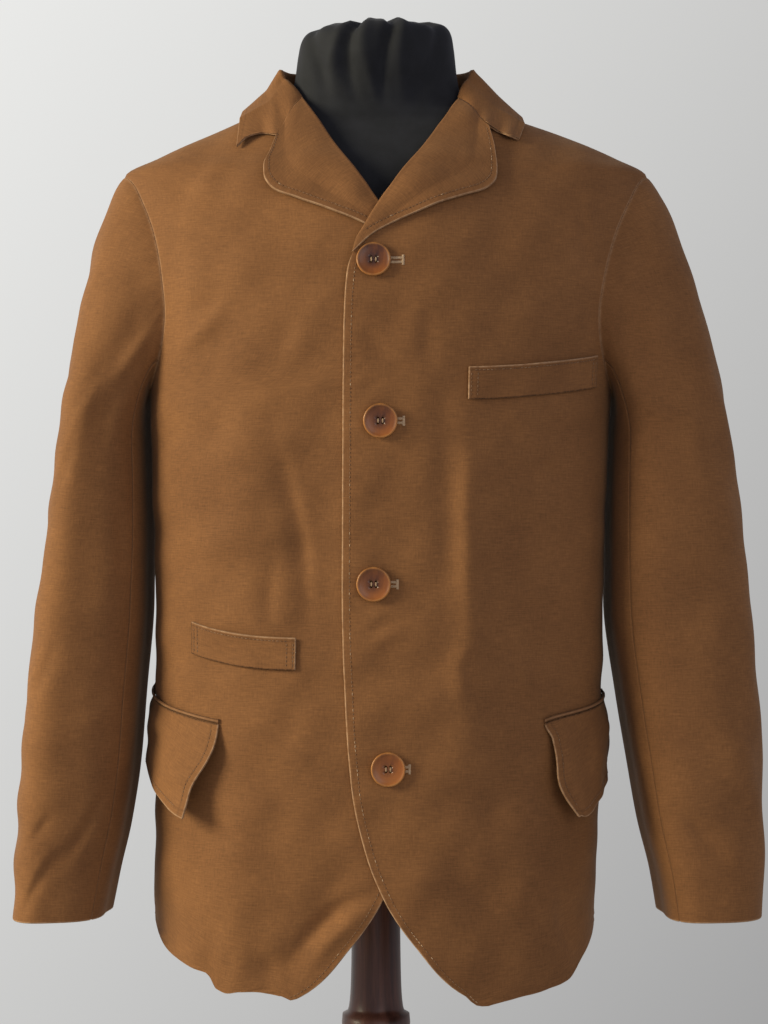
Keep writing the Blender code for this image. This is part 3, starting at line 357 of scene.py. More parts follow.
SLEEVE_CREASES_LEFT = (
    (70.0, 0.852, 112.0, 0.822, 0.003, 0.0050, 0.0060, -0.0018),
    (84.0, 0.838, 100.0, 0.800, 0.002, 0.0060, 0.0060, -0.0020),
    (100.0, 0.800, 128.0, 0.812, 0.002, 0.0060, 0.0070, -0.0016),
    (52.0, 1.196, 104.0, 1.172, -0.003, 0.0090, 0.0090, 0.0022),
    (120.0, 1.320, 96.0, 1.300, 0.002, 0.0060, 0.0070, 0.0022),
    (126.0, 1.345, 108.0, 1.330, 0.002, 0.0070, 0.0070, -0.0026),
    (80.0, 1.240, 112.0, 1.215, 0.002, 0.0080, 0.0090, -0.0014),
    (86.0, 1.010, 110.0, 0.985, 0.002, 0.0060, 0.0070, -0.0012),
    (70.0, 0.930, 100.0, 0.900, 0.003, 0.0080, 0.0090, -0.0012),
    (200.0, 1.000, 264.0, 1.030, 0.004, 0.0080, 0.0100, -0.0032),
    (210.0, 0.965, 272.0, 0.985, -0.004, 0.0070, 0.0090, -0.0026),
    (210.0, 1.240, 258.0, 1.170, 0.004, 0.0090, 0.0100, -0.0024),
    (165.0, 1.090, 198.0, 1.050, 0.003, 0.0100, 0.0110, -0.0014),
    (185.0, 0.870, 236.0, 0.815, 0.003, 0.0070, 0.0080, -0.0020),
)
SLEEVE_GIRTH_RADIUS = 0.056
CREASE_STRENGTH = 1.20
SLEEVE_CREASE_SHARE = 0.70
CREASE_END_SHARE = 0.25
CREASE_SIDE_RISE = 0.32
CREASE_SIDE_WIDTH = 2.2
UNEVEN_HEIGHT = 0.00080
UNEVEN_LENGTH = 0.055
PUCKER_HEIGHT = 0.00035
PUCKER_LENGTH = 0.011
PUCKER_REACH = 0.012
PUCKER_SLANT = 0.15
# The ripples of the front edge end below the break, and all ripples leave the very edge flat
PUCKER_END, PUCKER_FADE = 0.03, 0.02
EDGE_FLAT = 0.001
NECK_FADE = 0.03
WAVE_COUNT = 9
WAVE_LENGTHS = (0.6, 1.7)
SEEDS = dict(front=5, back=8, thread=11, front_edge=21, front_hem=31, back_hem=41)
SEEDS.update(lapel=61, sleeve=71, sleeve_head=73, flap=81)
LAPEL_UNEVEN, LAPEL_UNEVEN_LENGTH = 0.00025, 0.03
# Creases of a sleeve fade out at its seam, and short ripples take their place there
SLEEVE_CREASE_FADE = 0.035
HEAD_PUCKER_START, HEAD_PUCKER_REACH, HEAD_PUCKER_LENGTH = 0.002, 0.010, 0.012

# Grids: rows below the armpit, beside the armhole and above it; columns; about how wide each piece is
FRONT_ROWS, FRONT_COLUMNS, FRONT_WIDTH = (128, 60, 26), 78, 0.24
BACK_ROWS, BACK_COLUMNS, BACK_WIDTH = (110, 56, 26), 118, 0.50
HEM_LINES, HEM_LINES_END = (0.0, 0.0006, 0.0014, 0.0028, 0.0046), 0.007
LAPEL_ROWS, LAPEL_COLUMNS, LAPEL_FIRST_COLUMNS = 92, 22, 5
COLLAR_COUNT, COLLAR_ROWS, COLLAR_FIRST_ROWS = 54, 34, 12
COLLAR_HALF_LENGTH, LEAF_WIDTH = 0.20, 0.075
SLEEVE_HALF_COUNT, SLEEVE_HEAD_ROWS, SLEEVE_ARM_ROWS = 72, 44, 108
SLEEVE_HEAD_LINES, SLEEVE_HEAD_LINES_END = (0.0, 0.006, 0.014, 0.026, 0.042), 0.06
CUFF_LINES = (0.04, 0.02, 0.008, 0.0)
WELT_COLUMNS, WELT_ROWS, WELT_WIDTH = 44, 6, 0.105
FLAP_COLUMNS, FLAP_ROWS, FLAP_WIDTH, FLAP_DEPTH = 52, 26, 0.13, 0.08
JET_ROWS = 13

# Pockets
# Columns: share of the ring at the front and rear ends, height of the top line in front, its rise
# and bend, depth
BREAST_WELT = (0.270, 0.735, 1.2185, 0.0125, 1.6, 0.0262)
WATCH_WELT = (0.262, 0.620, 0.9965, 0.0120, 2.2, 0.0260)
# The left flap and the right one. Columns: share of the ring in front and at the rear, height of the
# top in front and at the rear, its bend, lean of the front edge, stand-off, depth in front and at the rear
FLAPS = {
    1: (0.540, 1.030, 0.9252, 0.9430, 0.70, 0.080, 0.0110, 0.0815, 0.0600),
    -1: (0.514, 1.030, 0.9252, 0.9490, 1.10, 0.061, 0.0175, 0.0770, 0.0560),
}
FLAP_RIPPLE = 0.0009
FLAP_HEM_OFF = 0.0046
FLAP_CORNER_ROUND = 0.005
FLAP_CORNER_REACH = 0.05
FLAP_LIFT_REACH = 0.38
FLAP_LIFT_CURVE = 1.3
FLAP_HEM_REACH = 0.35
FLAP_RIPPLE_REACH, FLAP_RIPPLE_LENGTH = 0.30, 0.045
# Front edge of the right flap, an S: its share of the lean, and where the S starts and how far it runs
FLAP_S_SHARE, FLAP_S_START, FLAP_S_RUN = 0.85, 0.22, 0.55
# Front edge of the left flap: share and length of its heel, then the power of its lower curve
FLAP_HEEL_SHARE, FLAP_HEEL_RUN, FLAP_CURVE_POWER = 0.24, 0.16, 1.8
JET_HEIGHT = 0.0036
JET_ROUND = 0.0012
JET_PAST_FLAP = 0.002
JET_TAPER_FRONT, JET_TAPER_REAR = 0.04, 0.10
JET_WEAR = 0.35
WELT_GAPE = 0.0012
WELT_LIFT = 0.4
# Waves of the welt's top edge. Columns: height, waves in its width, start
WELT_WAVES = ((0.55, 2.1, 0.15), (0.30, 3.7, 0.40))
WELT_LINES = (0.0005, 0.0012, 0.0018, 0.0024, 0.0034, 0.0052, 0.0072)
# Sewing of the welts and flaps. Columns: edge, distance from it, lengths left bare at its ends
WELT_SEWING = (
    ("top", 0.0024, (0.004, 0.004)),
    ("left", 0.0018, (0.002, 0.002)),
    ("left", 0.0072, (0.002, 0.002)),
    ("right", 0.0034, (0.002, 0.002)),
    ("right", 0.0072, (0.002, 0.002)),
)
FLAP_SEWING_BARE_LEFT, FLAP_SEWING_BARE_BOTTOM = (0.010, 0.003), (0.010, 0.004)

# Buttons
# Columns: centre x, height, lift of the back over the front, reach of the buttonhole past the
# centre, paleness
BUTTONS = (
    (-0.0015, 1.3050, -0.0004, 0.0235, 0.10),
    (0.0040, 1.1745, 0.0006, 0.0185, 0.35),
    (-0.0015, 1.0410, 0.0006, 0.0190, 0.45),
    (0.0103, 0.8900, 0.0006, 0.0170, 1.00),
)
BUTTON_RADIUS = 0.0142
BUTTON_RIM = 0.0046
# Columns: share of the radius, share of the rim height, from the well over the rim to the back
BUTTON_PROFILE = (
    (0.20, 0.60),
    (0.40, 0.62),
    (0.60, 0.68),
    (0.75, 0.77),
    (0.84, 0.86),
    (0.89, 0.96),
    (0.93, 1.00),
    (0.965, 0.97),
    (0.99, 0.86),
    (1.00, 0.66),
    (0.98, 0.44),
    (0.93, 0.28),
    (0.82, 0.10),
    (0.70, 0.00),
)
BUTTON_HOLE_RADIUS = 0.0011
BUTTON_HOLE_OUT = 0.0026
BUTTON_HOLE_STEPS = 16
BUTTON_STEPS = 56
BUTTON_THREAD_UP = 0.63
# Tone: painted light makes the lower side lighter and the upper side darker, by shares of x and y, and the
# well is darker than the band round it
BUTTON_PAINTED_LIGHT_MIDDLE, BUTTON_PAINTED_LIGHT_X, BUTTON_PAINTED_LIGHT_Y = 0.5, 0.20, 0.45
BUTTON_PALE_TONE, BUTTON_BAND_TONE, BUTTON_UPPER_SHADE_TONE = 0.55, 0.75, 0.10
BUTTON_BAND_START, BUTTON_BAND_RUN = 0.15, 0.5
# Painted highlight round the rim, and more of it on the lower side of the paler buttons
BUTTON_RIM_START, BUTTON_RIM_RUN, BUTTON_RIM_HIGHLIGHT = 0.86, 0.06, 0.35

# Dress form: sections from the bottom plate to the top of the neck
# Columns: height, half width, front, back, squareness
FORM_SECTIONS = (
    (0.8000, 0.1380, 0.0940, 0.0900, 2.4),
    (0.8080, 0.1500, 0.1030, 0.0985, 2.4),
    (0.8500, 0.1640, 0.1130, 0.1030, 2.3),
    (0.9000, 0.1680, 0.1150, 0.1010, 2.3),
    (0.9600, 0.1580, 0.1070, 0.0950, 2.3),
    (1.0300, 0.1460, 0.0990, 0.0910, 2.3),
    (1.1200, 0.1560, 0.1060, 0.0990, 2.3),
    (1.2000, 0.1690, 0.1130, 0.1080, 2.3),
    (1.2585, 0.1770, 0.1120, 0.1120, 2.3),
    (1.2945, 0.1820, 0.1075, 0.1125, 2.3),
    (1.3340, 0.1855, 0.0980, 0.1080, 2.2),
    (1.3680, 0.1830, 0.0850, 0.1000, 2.2),
    (1.3900, 0.1770, 0.0740, 0.0920, 2.1),
    (1.4060, 0.1640, 0.0630, 0.0840, 2.1),
    (1.4217, 0.1430, 0.0500, 0.0740, 2.0),
    (1.4387, 0.1070, 0.0370, 0.0610, 2.0),
    (1.4490, 0.0810, 0.0355, 0.0560, 2.0),
    (1.4600, 0.0735, 0.0375, 0.0540, 2.0),
    (1.4750, 0.0700, 0.0420, 0.0530, 2.0),
    (1.4950, 0.0675, 0.0480, 0.0520, 2.0),
    (1.5080, 0.0650, 0.0490, 0.0490, 2.0),
    (1.5150, 0.0600, 0.0450, 0.0440, 2.0),
    (1.5190, 0.0480, 0.0360, 0.0350, 2.0),
)
# Soft upright folds of the neck cover. Columns: degrees round from the front, half width in degrees, depth
NECK_FOLDS = (
    (-62.0, 7.0, -0.0022),
    (-40.0, 6.0, 0.0016),
    (-22.0, 7.0, -0.0028),
    (-4.0, 8.0, 0.0018),
    (16.0, 6.0, -0.0026),
    (34.0, 7.0, 0.0016),
    (55.0, 7.0, -0.0022),
    (100.0, 9.0, -0.0020),
    (150.0, 10.0, -0.0020),
    (205.0, 9.0, -0.0022),
    (255.0, 9.0, -0.0020),
)
NECK_FOLD_DEPTH = 1.6
NECK_FOLD_START, NECK_FOLD_FADE = 1.440, 0.045
NECK_FOLD_SWAY, NECK_FOLD_PACE = 9, 40
# The top of the neck slopes to one side and is a little uneven
NECK_TOP_START, NECK_TOP_FADE, NECK_TOP_SLOPE = 1.46, 0.05, 0.045
NECK_TOP_UNEVEN, NECK_TOP_WAVES, NECK_TOP_PHASE = 0.0012, 5, 40
NECK_TOP_DOME = 0.002
FORM_NECK_SECTION = 14
FORM_BODY_ROWS, FORM_NECK_ROWS, FORM_QUARTER = 90, 70, 31

# Stand: turned post and round base, as (radius, height) from the top down
POST_PROFILE = (
    (0.0205, 0.7997),
    (0.0214, 0.7100),
    (0.0246, 0.6690),
    (0.0285, 0.6680),
    (0.0296, 0.6590),
    (0.0285, 0.6500),
    (0.0225, 0.6480),
    (0.0205, 0.6200),
    (0.0215, 0.3000),
    (0.0240, 0.0800),
    (0.0330, 0.0480),
    (0.0420, 0.0353),
)
BASE_PROFILE = (
    (0.1720, 0.0350),
    (0.1820, 0.0325),
    (0.1880, 0.0260),
    (0.1900, 0.0180),
    (0.1900, 0.0020),
    (0.1880, 0.0000),
)

STAND_ROWS, STAND_STEPS = 120, 96

# Thread
STITCH_LENGTH = 0.0024
STITCH_STEP = 0.0033
STITCH_RADIUS = 0.00026
STITCH_INSET = 0.0058
PURL_STEP = 0.00062
PURL_LENGTH = 0.0024
PURL_RADIUS = 0.00034
PURL_LENGTHS, PURL_TONES = (0.9, 1.1), (0.8, 1.0)
PURL_TONE, PURL_BAR_TONE = 0.85, 0.95
# Buttonhole: half its height, half the height of the bar at its end, gap to the bar, start under the button
HOLE_HALF, HOLE_BAR_HALF, HOLE_BAR_GAP, HOLE_START = 0.0017, 0.0038, 0.0004, 0.55
THREAD_LIFT = 0.0001
STRAND_RADIUS, STRAND_LENGTH, STRAND_TONE = 0.00028, 1.05, 0.62
# One stitch from end to end. Columns: share of its length, share of its radius, height in radii
STITCH_RINGS = (
    (-0.5, 0.45, -0.9),
    (-0.32, 0.95, 0.25),
    (0.0, 1.0, 0.55),
    (0.32, 0.95, 0.25),
    (0.5, 0.45, -0.9),
)
STITCH_SIDES = 6
STITCH_LENGTHS, PALE_TONES, DARK_TONES = (0.9, 1.08), (0.55, 1.0), (0.0, 0.25)
# Sewing of the front edges: lengths left bare below and above, and the share of pale stitches
EDGE_SEWING = {1: ((0.012, 0.165), 0.16), -1: ((0.012, 0.560), 0.10)}
LAPEL_SEWING_BARE, COLLAR_SEWING_BARE, LAPEL_SEWING_PALE = (0.018, 0.004), (0.006, 0.006), 0.08

# Colours, in linear light
DUCK_DARK = (0.151, 0.0615, 0.0202, 1.0)
DUCK_LIGHT = (0.207, 0.0868, 0.0287, 1.0)
# Seam lines: a dark stitch line together with painted shade in the groove and where parts are sewn down
DUCK_SEAM_SHADE = (0.030, 0.0115, 0.0045, 1.0)
DUCK_WORN = (0.380, 0.225, 0.125, 1.0)
THREAD_BROWN = (0.130, 0.056, 0.020, 1.0)
THREAD_TAN = (0.620, 0.430, 0.260, 1.0)
DUCK_SHEEN = (0.85, 0.66, 0.45, 1.0)
FORM_BLACK = (0.0060, 0.0060, 0.0075, 1.0)
FORM_GREY = (0.0102, 0.0102, 0.01275, 1.0)
FORM_SHEEN = (0.55, 0.56, 0.66, 1.0)
MAHOGANY_DARK = (0.034, 0.0122, 0.0080, 1.0)
MAHOGANY_RED = (0.118, 0.042, 0.026, 1.0)
HORN_DARK = (0.042, 0.013, 0.008, 1.0)
HORN_AMBER = (0.235, 0.068, 0.011, 1.0)
# Painted highlight on the rims of the buttons
HORN_RIM_HIGHLIGHT = (0.360, 0.150, 0.036, 1.0)
FLOOR_GREY = (0.52, 0.52, 0.51, 1.0)
WALL_LIGHT = (0.82, 0.82, 0.805, 1.0)
WALL_SHADE = (0.37, 0.368, 0.368, 1.0)
ROOM = (0.425, 0.440, 0.520, 1.0)
CEILING = (0.24, 0.24, 0.25, 1.0)
WINDOW_LIGHT = (1.0, 0.94, 0.68)
FILL_LIGHT = (1.0, 1.0, 1.0)

# Room: how the wall shades off, how it gives way to the room and the ceiling, and the lights
WALL_LEAN, WALL_REACH = 0.75, 0.28
ROOM_TO_WALL, WALL_TO_CEILING = (-0.2, 0.75), (0.35, 0.95)
LIGHT_AIM = (0.0, 0.0, 1.10)
WINDOW_PLACE, WINDOW_SIZE, WINDOW_POWER = (-3.20, -1.05, 2.2), 1.6, 172.0
FILL_PLACE, FILL_SIZE, FILL_POWER = (1.7, -2.9, 2.0), 2.5, 22.0
FLOOR_RADIUS, FLOOR_STEPS, FLOOR_DROP, FLOOR_ROUGHNESS = 3.0, 96, 0.0005, 0.7


# Numbers from the tables
def through(xs, ys, at):
    """Monotone cubic through a table's points, xs rising; it never overshoots them."""
    xs, ys, at = np.asarray(xs, float), np.asarray(ys, float), np.asarray(at, float)
    at = np.clip(at, xs[0], xs[-1])
    gaps = np.diff(xs)
    steep = np.diff(ys) / gaps
    slopes = np.zeros(len(xs))
    slopes[0], slopes[-1] = steep[0], steep[-1]
    same = steep[:-1] * steep[1:] > 0
    first, second = 2 * gaps[1:] + gaps[:-1], gaps[1:] + 2 * gaps[:-1]
    before, after = np.where(same, steep[:-1], 1.0), np.where(same, steep[1:], 1.0)
    slopes[1:-1] = np.where(same, (first + second) / (first / before + second / after), 0.0)
    low = np.clip(np.searchsorted(xs, at, side="right") - 1, 0, len(xs) - 2)
    gap = gaps[low]
    t = (at - xs[low]) / gap
    rise = ys[low + 1] - ys[low]
    bend = 3 * t * t - 2 * t**3
    ends = slopes[low] * (t - 2 * t * t + t**3) + slopes[low + 1] * (t**3 - t * t)
    return ys[low] + rise * bend + gap * ends


def smooth(values, at):
    return through(np.arange(len(values)), values, at)


def along(points, share):
    """Smooth curve through a short table of points, at shares of its length."""
    points = np.asarray(points, float)
    lengths = np.concatenate([[0], np.cumsum(np.linalg.norm(np.diff(points, axis=0), axis=1))])
    at = np.asarray(share, float) * lengths[-1]
    return np.stack([through(lengths, values, at) for values in points.T], axis=-1)


def body(name, row):
    place = BODY_COLUMNS.index(name)
    return smooth([section[place] for section in BODY_SECTIONS], row)


ROW_SAMPLES = np.linspace(0, NECK_ROW, 5601)
ROW_HEIGHTS = body("z", ROW_SAMPLES)


def row_at(z):
    return np.interp(z, ROW_HEIGHTS, ROW_SAMPLES)


def ease(t):
    t = np.clip(t, 0.0, 1.0)
    return t * t * (3 - 2 * t)


def unit(vectors):
    length = np.linalg.norm(vectors, axis=-1, keepdims=True)
    return vectors / np.maximum(length, 1e-12)


def waves(u, v, seed, length):
    """Gentle random waves over two coordinates in metres, about one high, of about this length."""
    rng = np.random.default_rng(seed)
    total = np.zeros(np.broadcast(u, v).shape)
    for _ in range(WAVE_COUNT):
        angle, phase = rng.uniform(0, 2 * math.pi, 2)
        pace = 2 * math.pi / (length * rng.uniform(*WAVE_LENGTHS))
        total = total + np.sin(pace * (u * math.cos(angle) + v * math.sin(angle)) + phase)
    return total / math.sqrt(WAVE_COUNT)


# The coat body as one surface: around is 0 at the centre front, 1 at the left side, 2 at the centre back
ANGLES = np.linspace(0, math.pi / 2, 97)


def quarter_arcs(half_width, depth, squareness):
    power = (2 / squareness)[..., None]
    xs = half_width[..., None] * np.sin(ANGLES) ** power
    ys = depth[..., None] * np.clip(np.cos(ANGLES), 0, 1) ** power
    arcs = np.cumsum(np.hypot(np.diff(xs), np.diff(ys)), axis=-1)
    return np.concatenate([np.zeros_like(arcs[..., :1]), arcs], axis=-1)


def quarter(half_width, depth, squareness, share):
    """(x, y) at a share of the arc, from the middle (0) to the side (1), on a quarter of a section."""
    arcs = quarter_arcs(half_width, depth, squareness)
    target = np.clip(share, 0, 1) * arcs[..., -1]
    low = np.clip((arcs <= target[..., None]).sum(axis=-1) - 1, 0, len(ANGLES) - 2)
    start = np.take_along_axis(arcs, low[..., None], axis=-1)[..., 0]
    end = np.take_along_axis(arcs, low[..., None] + 1, axis=-1)[..., 0]
    angle = (low + (target - start) / (end - start)) * ANGLES[1]
    power = 2 / squareness
    return half_width * np.sin(angle) ** power, depth * np.clip(np.cos(angle), 0, 1) ** power


def body_point(around, row):
    around, row = np.broadcast_arrays(np.asarray(around, float), np.asarray(row, float))
    around = (around + 2) % 4 - 2
    share = np.abs(around)
    at_front = share <= 1
    depth = np.where(at_front, body("front", row), body("back", row))
    part = np.where(at_front, share, 2 - share)
    x, y = quarter(body("half_width", row), depth, body("squareness", row), part)
    z = body("z", row)
    start = np.where(around > 0, HEM_RISE_START_LEFT, HEM_RISE_START_RIGHT)
    rise = HEM_RISE_SIDE * ease((share - start) / (1 - start))
    rise = rise + (HEM_RISE_BACK - HEM_RISE_SIDE) * ease(share - 1)
    z = z + rise * (1 - ease((z - HEM_Z) / HEM_RISE_REACH))
    return np.stack([body("centre_x", row) + np.sign(around) * x, np.where(at_front, -y, y), z], axis=-1)


def body_normal(around, row):
    step = 2e-3
    across = body_point(around + step, row) - body_point(around - step, row)
    above, below = np.minimum(row + step, NECK_ROW), np.maximum(row - step, 0)
    up = body_point(around, above) - body_point(around, below)
    return unit(np.cross(across, up))


def around_at(x, row):
    """Share of the ring where the front reaches this x."""
    x, row = np.broadcast_arrays(np.asarray(x, float), np.asarray(row, float))
    width, squareness = body("half_width", row), body("squareness", row)
    off = x - body("centre_x", row)
    angle = np.arcsin(np.clip(np.abs(off) / width, 0, 1) ** (squareness / 2))
    arcs = quarter_arcs(width, body("front", row), squareness)
    place = np.clip(angle / ANGLES[1], 0, len(ANGLES) - 1.001)
    low = place.astype(int)
    start = np.take_along_axis(arcs, low[..., None], axis=-1)[..., 0]
    end = np.take_along_axis(arcs, low[..., None] + 1, axis=-1)[..., 0]
    return np.sign(off) * (start + (place - low) * (end - start)) / arcs[..., -1]


def fold_height(points, folds):
    """How far the folds stand out of the surface at these points, from their places in the front view."""
    total = np.zeros(points.shape[:-1])
    for x0, z0, x1, z1, width, depth in folds:
        start, way = np.array([x0, z0]), np.array([x1 - x0, z1 - z0])
        place = points[..., [0, 2]] - start
        nearest = np.clip((place @ way) / (way @ way), 0, 1)
        off = np.linalg.norm(place - nearest[..., None] * way, axis=-1)
        strength = FOLD_END_SHARE + (1 - FOLD_END_SHARE) * np.sin(math.pi * nearest)
        total += depth * np.exp(-((off / width) ** 2)) * strength
    return total


def crease_height(u, v, creases):
    """Height of the creases at (u, v) in metres: a soft trough or ridge with cloth pushed up beside it."""
    total = np.zeros(u.shape)
    for u0, v0, u1, v1, bow, left, right, height in creases:
        du, dv = u1 - u0, v1 - v0
        length = math.hypot(du, dv)
        t = ((u - u0) * du + (v - v0) * dv) / length**2
        inside = np.clip(t, 0, 1)
        off = ((u - u0) * dv - (v - v0) * du) / length - bow * 4 * inside * (1 - inside)
        width = np.where(off < 0, left, right)
        past = (t - inside) * length / (left + right)
        strength = CREASE_END_SHARE + (1 - CREASE_END_SHARE) * np.sin(math.pi * inside)
        near = np.exp(-((off / width) ** 2))
        wide = np.exp(-((off / width / CREASE_SIDE_WIDTH) ** 2))
        total += height * strength * np.exp(-(past**2)) * (near - CREASE_SIDE_RISE * wide)
    return CREASE_STRENGTH * total


def side_seam(row):
    return 1 + SIDE_SEAM_BACK * ease((ARMPIT_Z - body("z", row)) / SIDE_SEAM_RUN)


def armhole(row, dip):
    """How far the armhole lies from the side line at this section, as a share of the ring."""
    t = np.clip((body("z", row) - ARMPIT_Z) / (SHOULDER_Z - ARMPIT_Z), 0, 1) ** ARMHOLE_FULL_LOW
    return dip * np.sqrt(np.clip(1 - (2 * t - 1) ** 2, 0, 1))


def front_outer(row):
    return np.where(body("z", row) < ARMPIT_Z, side_seam(row), 1 - armhole(row, ARMHOLE_DIP_FRONT))


def back_outer(row):
    return np.where(body("z", row) < ARMPIT_Z, side_seam(row), 1 + armhole(row, ARMHOLE_DIP_BACK))


def armhole_rows(steps):
    angle = np.linspace(0, math.pi, steps + 1)
    middle, half = (ARMPIT_Z + SHOULDER_Z) / 2, (SHOULDER_Z - ARMPIT_Z) / 2
    return row_at(middle - half * np.cos(angle))


def edge_x(z, side):
    """Where the front panel starts: its edge below the break, the roll line above it."""
    low = CLOSING_X + side * through(*zip(*FRONT_EDGE), z)
    high = ROLL_X + side * through(*zip(*ROLL_LINE), z)
    share = ease((z - BREAK_Z + BREAK_BLEND) / BREAK_BLEND)
    return low + (high - low) * share


def lap_height(points):
    """How far the left front stands over the right one near the closing."""
    more = LAP_HEIGHT_BREAK - LAP_HEIGHT
    full = LAP_HEIGHT + more * ease((points[..., 2] - LAP_RISE_Z) / LAP_FADE_LENGTH)
    full = full * (1 - ease((points[..., 2] - LAP_FADE_Z) / LAP_FADE_LENGTH))
    return full * (1 - ease((points[..., 0] - LAP_FULL_X) / (LAP_GONE_X - LAP_FULL_X)))


def front_face(around, row, side):
    """Outer face of one front with its lap, folds and creases, and the outward direction there."""
    around, row = np.broadcast_arrays(np.asarray(around, float), np.asarray(row, float))
    base, normal = body_point(around, row), body_normal(around, row)
    x, z = base[..., 0], base[..., 2]
    folds = fold_height(base, FRONT_FOLDS) * ease((FOLD_TOP_Z - z) / FOLD_TOP_FADE)
    folds = folds * ease(np.abs(x - CLOSING_X) / LAP_FULL_X)
    fine = crease_height(x, z, FRONT_CREASES) + UNEVEN_HEIGHT * waves(x, z, SEEDS["front"], UNEVEN_LENGTH)
    seam_fade = ease((front_outer(row) - np.abs(around)) / FOLD_SEAM_FADE)
    height = (folds + fine * ease((NECK_Z - z) / NECK_FADE)) * seam_fade
    if side > 0:
        height = height + lap_height(base)
    return base + height[..., None] * normal, normal


def front_at(x, z, side, height):
    """Points this far out from one front, at places in the front view."""
    row = row_at(z)
    face, normal = front_face(around_at(x, row), row, side)
    return face + np.asarray(height)[..., None] * normal


# Meshes
def pull(points, rows=(), columns=(), by=SEAM / 2):
    """Draws chosen edge rows and columns of a grid inwards, to leave a seam."""
    points = points.copy()
    for row in rows:
        inside = row + 1 if row == 0 else row - 1
        points[row] += by * unit(points[inside] - points[row])
    for place in columns:
        inside = place + 1 if place == 0 else place - 1
        points[:, place] += by * unit(points[:, inside] - points[:, place])
    return points


def grid_normals(points, closed=False):
    if closed:
        across = np.roll(points, -1, axis=1) - np.roll(points, 1, axis=1)
    else:
        across = np.gradient(points, axis=1)
    return unit(np.cross(across, np.gradient(points, axis=0)))


def run(points, axis):
    """Distance from the first row or column, along the grid."""
    steps = np.linalg.norm(np.diff(points, axis=axis), axis=-1)
    start = np.zeros_like(np.take(steps, [0], axis=axis))
    return np.cumsum(np.concatenate([start, steps], axis=axis), axis=axis)


CLOSE_LINES = (0.0005, 0.0012, 0.0022, 0.0034, 0.0046, 0.0054, 0.0062, 0.0072, 0.0090, 0.0120)


def spaced(count, length, close=CLOSE_LINES):
    """Shares from 0 to 1 that lie close together at both ends of this length."""
    ends = np.array((0.0,) + tuple(close)) / length
    middle = np.linspace(ends[-1], 1 - ends[-1], count)
    return np.concatenate([ends[:-1], middle, 1 - ends[-2::-1]])


def spaced_to_edge(count, length, first_count):
    """Shares from 0 to 1 that lie close together at the end of this length only."""
    shares = spaced(count, length)[len(CLOSE_LINES):]
    return np.concatenate([np.linspace(0, shares[0], first_count)[:-1], shares])


def new_object(name, data):
    made = bpy.data.objects.new(name, data)
    bpy.context.scene.collection.objects.link(made)
    return made


def new_piece(name, points, faces, material, uv=None, values=()):
    """Smooth mesh of these points and faces, with places in the flat cloth and values at its points."""
    mesh = bpy.data.meshes.new(name)
    mesh.from_pydata(np.asarray(points).reshape(-1, 3).tolist(), [], faces)
    mesh.polygons.foreach_set("use_smooth", np.ones(len(mesh.polygons), bool))
    if uv is not None:
        layer = mesh.uv_layers.new(name="cloth")
        corner = np.zeros(len(mesh.loops), np.int32)
        mesh.loops.foreach_get("vertex_index", corner)
        layer.uv.foreach_set("vector", np.asarray(uv, np.float32)[corner].ravel())
    for label, value in values:
        attribute = mesh.attributes.new(label, "FLOAT", "POINT")
        attribute.data.foreach_set("value", np.asarray(value, np.float32).ravel())
    mesh.materials.append(material)
    mesh.update()
    return new_object(name, mesh)


PLAIN_RIM = ((0.5, 1.0),)
TURNED_RIM = ((0.18, 0.9), (0.5, 0.15), (0.82, 0.9))
WEAR_REACH = 0.00042
EDGES = ("bottom", "right", "top", "left")
# Sunk seam lines: their width, depth and strengths; the strength also darkens the colour there, a stitch
# line with painted shade
SEAM_LINE_REACH = 0.0008
SEAM_LINE_DEPTH = 0.18
STITCH_DARK = 0.36
EDGE_LINE, HEM_LINE = 0.3 * STITCH_DARK, 0.12
RIM_WEAR, INNER_WEAR = 0.7, 0.3
SEAM_WEAR, SLEEVE_WEAR, SEAM_WEAR_REACH = 0.65, 0.5, 0.0012
# Each piece is cut from its own place in the cloth
CUT_STEP = (0.37, 0.61)
piece_count = 0


